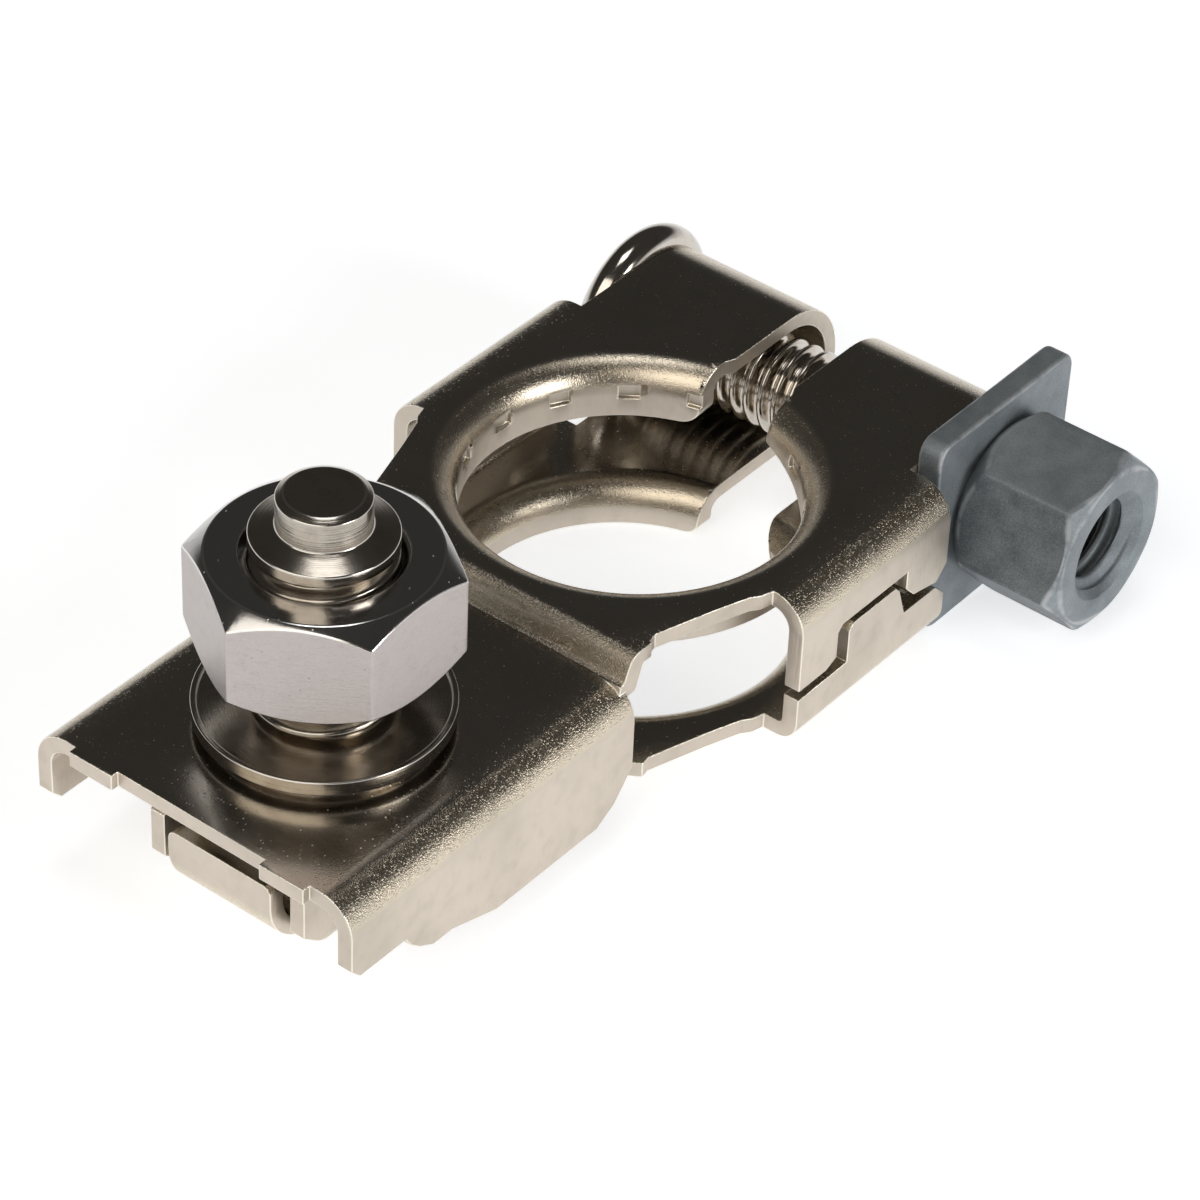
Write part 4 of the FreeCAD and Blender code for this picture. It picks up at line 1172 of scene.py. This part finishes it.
@dataclass
class HexNut:
    """A hexagon nut, its corners turned off at both ends.

    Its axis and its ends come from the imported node. faces and drops are, at the lower and the
    upper end, the radius of the flat face and how far the corners are turned off.
    """

    name: str
    node: str
    slot: str
    body: Body
    axis: Axis
    flats: float
    turned: float
    faces: Span
    drops: Span
    bore: float
    sink: float
    blunt: float
    edge: float
    mouth_edge: float = 0.06
    bore_edge: float = 0.05
    side_columns: int = 24
    thread: Thread | None = None

    def build(self, material: bpy.types.Material) -> None:
        """Build the nut as one closed loop of rows, or with a thread in its bore if it shows.

        Args:
            material: The nut's finish.
        """
        box = Packed.of(self.node)
        turn = sector_turn(6, self.side_columns)
        side = prism_radius(turn, 6, self.flats, self.blunt)
        corner = self.flats / math.sqrt(3)
        low, high = (drop * np.maximum(side - face, 0) / (corner - face)
                     for face, drop in zip(self.faces, self.drops))
        mouth, end, edge = self.bore + self.sink, box.length(self.axis), self.edge
        outside = [(0, self.faces[0], edge), (low, side, edge), (end - high, side, edge),
                   (end, self.faces[1], edge)]
        lathe = Lathe(Shell(), turn + math.radians(self.turned), box.foot(self.axis), self.axis)
        if self.thread is None:
            lathe.add_corners([
                (0, mouth, self.mouth_edge), *outside, (end, mouth, self.mouth_edge),
                (end - self.sink, self.bore, self.bore_edge),
                (self.sink, self.bore, self.bore_edge),
            ], closed=True)
        else:
            self.add_threaded(lathe, outside, end)
        item = lathe.shell.build(self.name)
        dress(item, material)
        place(item, self.body, self.node, self.slot)

    def add_threaded(self, lathe: Lathe, outside: list[Corner], height: float) -> None:
        """Add the outside and a bore with a thread that mates with the screw on the same axis.

        The columns are put in the order of their angle from the frame's own zero, because the
        thread's phase counts from there, and the bore opens at 45 degrees to both ends.

        Args:
            lathe: Carries the rows round the nut's axis.
            outside: Corners from the lower to the upper face.
            height: Height of the nut.
        """
        thread, start = self.thread, float(lathe.origin @ lathe.axis.value[0])
        end = start + height
        wrapped = np.mod(lathe.turn, FULL_TURN)[:-1]
        order = np.argsort(wrapped, kind="stable")
        order = np.append(order, order[0])
        turn = wrapped[order]
        turn[-1] += FULL_TURN
        lathe.turn = turn

        def widened(way: Grid, radius: Grid) -> Grid:
            """Open the thread's radius towards the nearer end."""
            return np.maximum(radius, thread.crest - np.minimum(way - start, end - way) + self.sink)

        lower, upper = (widened(way, thread.radius(way / thread.pitch - turn / FULL_TURN))
                        for way in (start, end))
        ordered = [tuple(part[order] if isinstance(part, np.ndarray) else part for part in corner)
                   for corner in outside]
        lathe.add_corners([(0, lower, 0), *ordered, (height, upper, 0)])
        helix = thread.grid(start, end, turn, widened)
        helix[..., 0] -= start
        lathe.add_rows(helix[::-1])


@dataclass
class SquareWasher:
    """The square washer between the right-hand ear and the clamp nut.

    Its axis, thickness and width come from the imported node.
    """

    box: Packed = field(default_factory=lambda: Packed.of("square_washer"))
    corner: float = 1.0
    hole: float = 3.25
    edge: float = 0.3
    hole_edge: float = 0.15
    edge_steps: int = 7
    side_columns: int = 40

    def build(self, material: bpy.types.Material) -> None:
        """Build the washer as one closed loop of rows.

        Args:
            material: The washer's finish.
        """
        turn = sector_turn(4, self.side_columns)
        side = rounded_square_radius(turn, self.box.size[1] / 2, self.corner)
        thickness = self.box.length(Axis.CROSSWISE)
        lathe = Lathe(Shell(), turn, self.box.foot(Axis.CROSSWISE), Axis.CROSSWISE)
        lathe.add_corners([
            (0, self.hole, self.hole_edge), (0, side, self.edge), (thickness, side, self.edge),
            (thickness, self.hole, self.hole_edge),
        ], self.edge_steps, closed=True)
        item = lathe.shell.build("coated_square_washer")
        dress(item, material)
        place(item, Body.WASHER, "square_washer", "grey_coating")


@dataclass
class Assembly:
    """All pieces of the clamp, in the order of their making."""

    stud_nut: HexNut = field(default_factory=lambda: HexNut(
        name="bright_stud_nut", node="stud_nut", slot="bright_nut", body=Body.LUG_NUT,
        axis=Axis.UPRIGHT, flats=13.0, turned=60.0, faces=(6.2, 6.2), drops=(0.95, 0.95),
        bore=4.0, sink=0.45, blunt=0.05, edge=0.1))
    clamp_nut: HexNut = field(default_factory=lambda: HexNut(
        name="coated_clamp_nut", node="clamp_nut", slot="grey_coating", body=Body.CLOSING_NUT,
        axis=Axis.CROSSWISE, flats=10.0, turned=42.8, faces=(4.6, 4.8), drops=(1.35, 0.6),
        bore=3.0, sink=0.4, blunt=0.1, edge=0.3, thread=Thread(crest=3.0, pitch=1.0)))

    def build(self) -> None:
        """Build every piece."""
        PressedBody().build()
        CableStud().build()
        ClampBolt().build()
        coating = ZincFlake().material()
        SquareWasher().build(coating)
        self.clamp_nut.build(coating)
        self.stud_nut.build(BrightNut().material())


# ---------------------------------------------------------------------------
# Studio, in metres
# ---------------------------------------------------------------------------


@dataclass(frozen=True)
class Softbox:
    """A rectangular soft light that points at the middle of the clamp."""

    name: str
    place: tuple[float, float, float]
    width: float
    height: float
    power: float
    colour: Colour = (1.0, 1.0, 1.0)
    target: tuple[float, float, float] = (0.0, -0.005, 0.008)

    def build(self) -> None:
        """Hang the light."""
        lamp = bpy.data.lights.new(self.name, "AREA")
        lamp.shape = "RECTANGLE"
        lamp.size, lamp.size_y = self.width, self.height
        lamp.energy, lamp.color = self.power, self.colour
        item = bpy.data.objects.new(self.name, lamp)
        item.location = self.place
        look = Vector(self.target) - Vector(self.place)
        item.rotation_mode = "QUATERNION"
        item.rotation_quaternion = look.to_track_quat("-Z", "Y")
        bpy.context.scene.collection.objects.link(item)


@dataclass
class Studio:
    """Pale floor, soft lights and the camera, which was fitted to the photograph."""

    eye: tuple[float, float, float] = (0.12528, -0.16710, 0.17034)
    forward: tuple[float, float, float] = (-0.47117, 0.61958, -0.62779)
    upward: tuple[float, float, float] = (-0.41601, 0.47151, 0.77757)
    lens: float = 141.75
    sensor: float = 36.0
    clip: Span = (0.01, 20.0)
    floor_half: float = 3.0
    floor_level: float = -0.00015
    floor_colour: Colour = (0.88, 0.90, 0.93)
    floor_light: Colour = (0.98, 0.99, 1.0)
    floor_glow: float = 0.62
    floor_roughness: float = 0.9
    gloom: Colour = (0.045, 0.043, 0.040)
    haze: Colour = (0.78, 0.78, 0.78)
    horizon: Span = (0.04, 0.26)
    lights: tuple[Softbox, ...] = (
        Softbox(name="front_softbox", place=(0.03, -0.74, 0.67), width=1.10, height=0.70,
                power=4.4, colour=(1.0, 0.95, 0.87)),
        Softbox(name="overhead_softbox", place=(-0.05, 0.05, 0.95), width=0.35, height=0.35,
                power=1.0),
        Softbox(name="right_softbox", place=(0.75, 0.05, 0.30), width=0.30, height=0.30,
                power=2.2),
    )

    def build(self) -> None:
        """Set up the studio."""
        bpy.context.scene.view_settings.view_transform = "Standard"
        self.build_floor()
        self.build_world()
        for light in self.lights:
            light.build()
        self.build_camera()

    def build_floor(self) -> None:
        """Lay the pale floor just under the lowest point."""
        half, level = self.floor_half, self.floor_level
        mesh = bpy.data.meshes.new("studio_floor")
        corners = [(-half, -half, level), (half, -half, level), (half, half, level),
                   (-half, half, level)]
        mesh.from_pydata(corners, [], [(0, 1, 2, 3)])
        floor = bpy.data.objects.new("studio_floor", mesh)
        bpy.context.scene.collection.objects.link(floor)
        board = Board("studio_floor")
        mesh.materials.append(board.finish(
            base_color=self.floor_colour, roughness=self.floor_roughness,
            emission_color=self.floor_light, emission_strength=self.floor_glow))

    def build_world(self) -> None:
        """Dim the room above its pale horizon, so that upper faces mirror a dark ceiling."""
        board = Board("studio_room", room=True)
        _, _, rise = board.parts(board.node("ShaderNodeTexCoord", output="Generated"))
        colour = board.blend(rise.step(*self.horizon), self.haze, self.gloom)
        bpy.context.scene.world = board.finish(color=colour)

    def build_camera(self) -> None:
        """Place the camera where the photograph was taken from."""
        lens = bpy.data.cameras.new("photo_camera")
        lens.lens, lens.sensor_width = self.lens, self.sensor
        lens.clip_start, lens.clip_end = self.clip
        camera = bpy.data.objects.new("photo_camera", lens)
        forward = Vector(self.forward).normalized()
        right = forward.cross(Vector(self.upward)).normalized()
        up = right.cross(forward)
        turn = Matrix((right, up, -forward)).transposed().to_4x4()
        camera.matrix_world = Matrix.Translation(self.eye) @ turn
        bpy.context.scene.collection.objects.link(camera)
        bpy.context.scene.camera = camera


def main() -> None:
    """Build the clamp and the studio."""
    logging.basicConfig(level=logging.INFO, format="%(name)s: %(message)s")
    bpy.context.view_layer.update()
    Assembly().build()
    Studio().build()


if __name__ == "__main__":
    main()
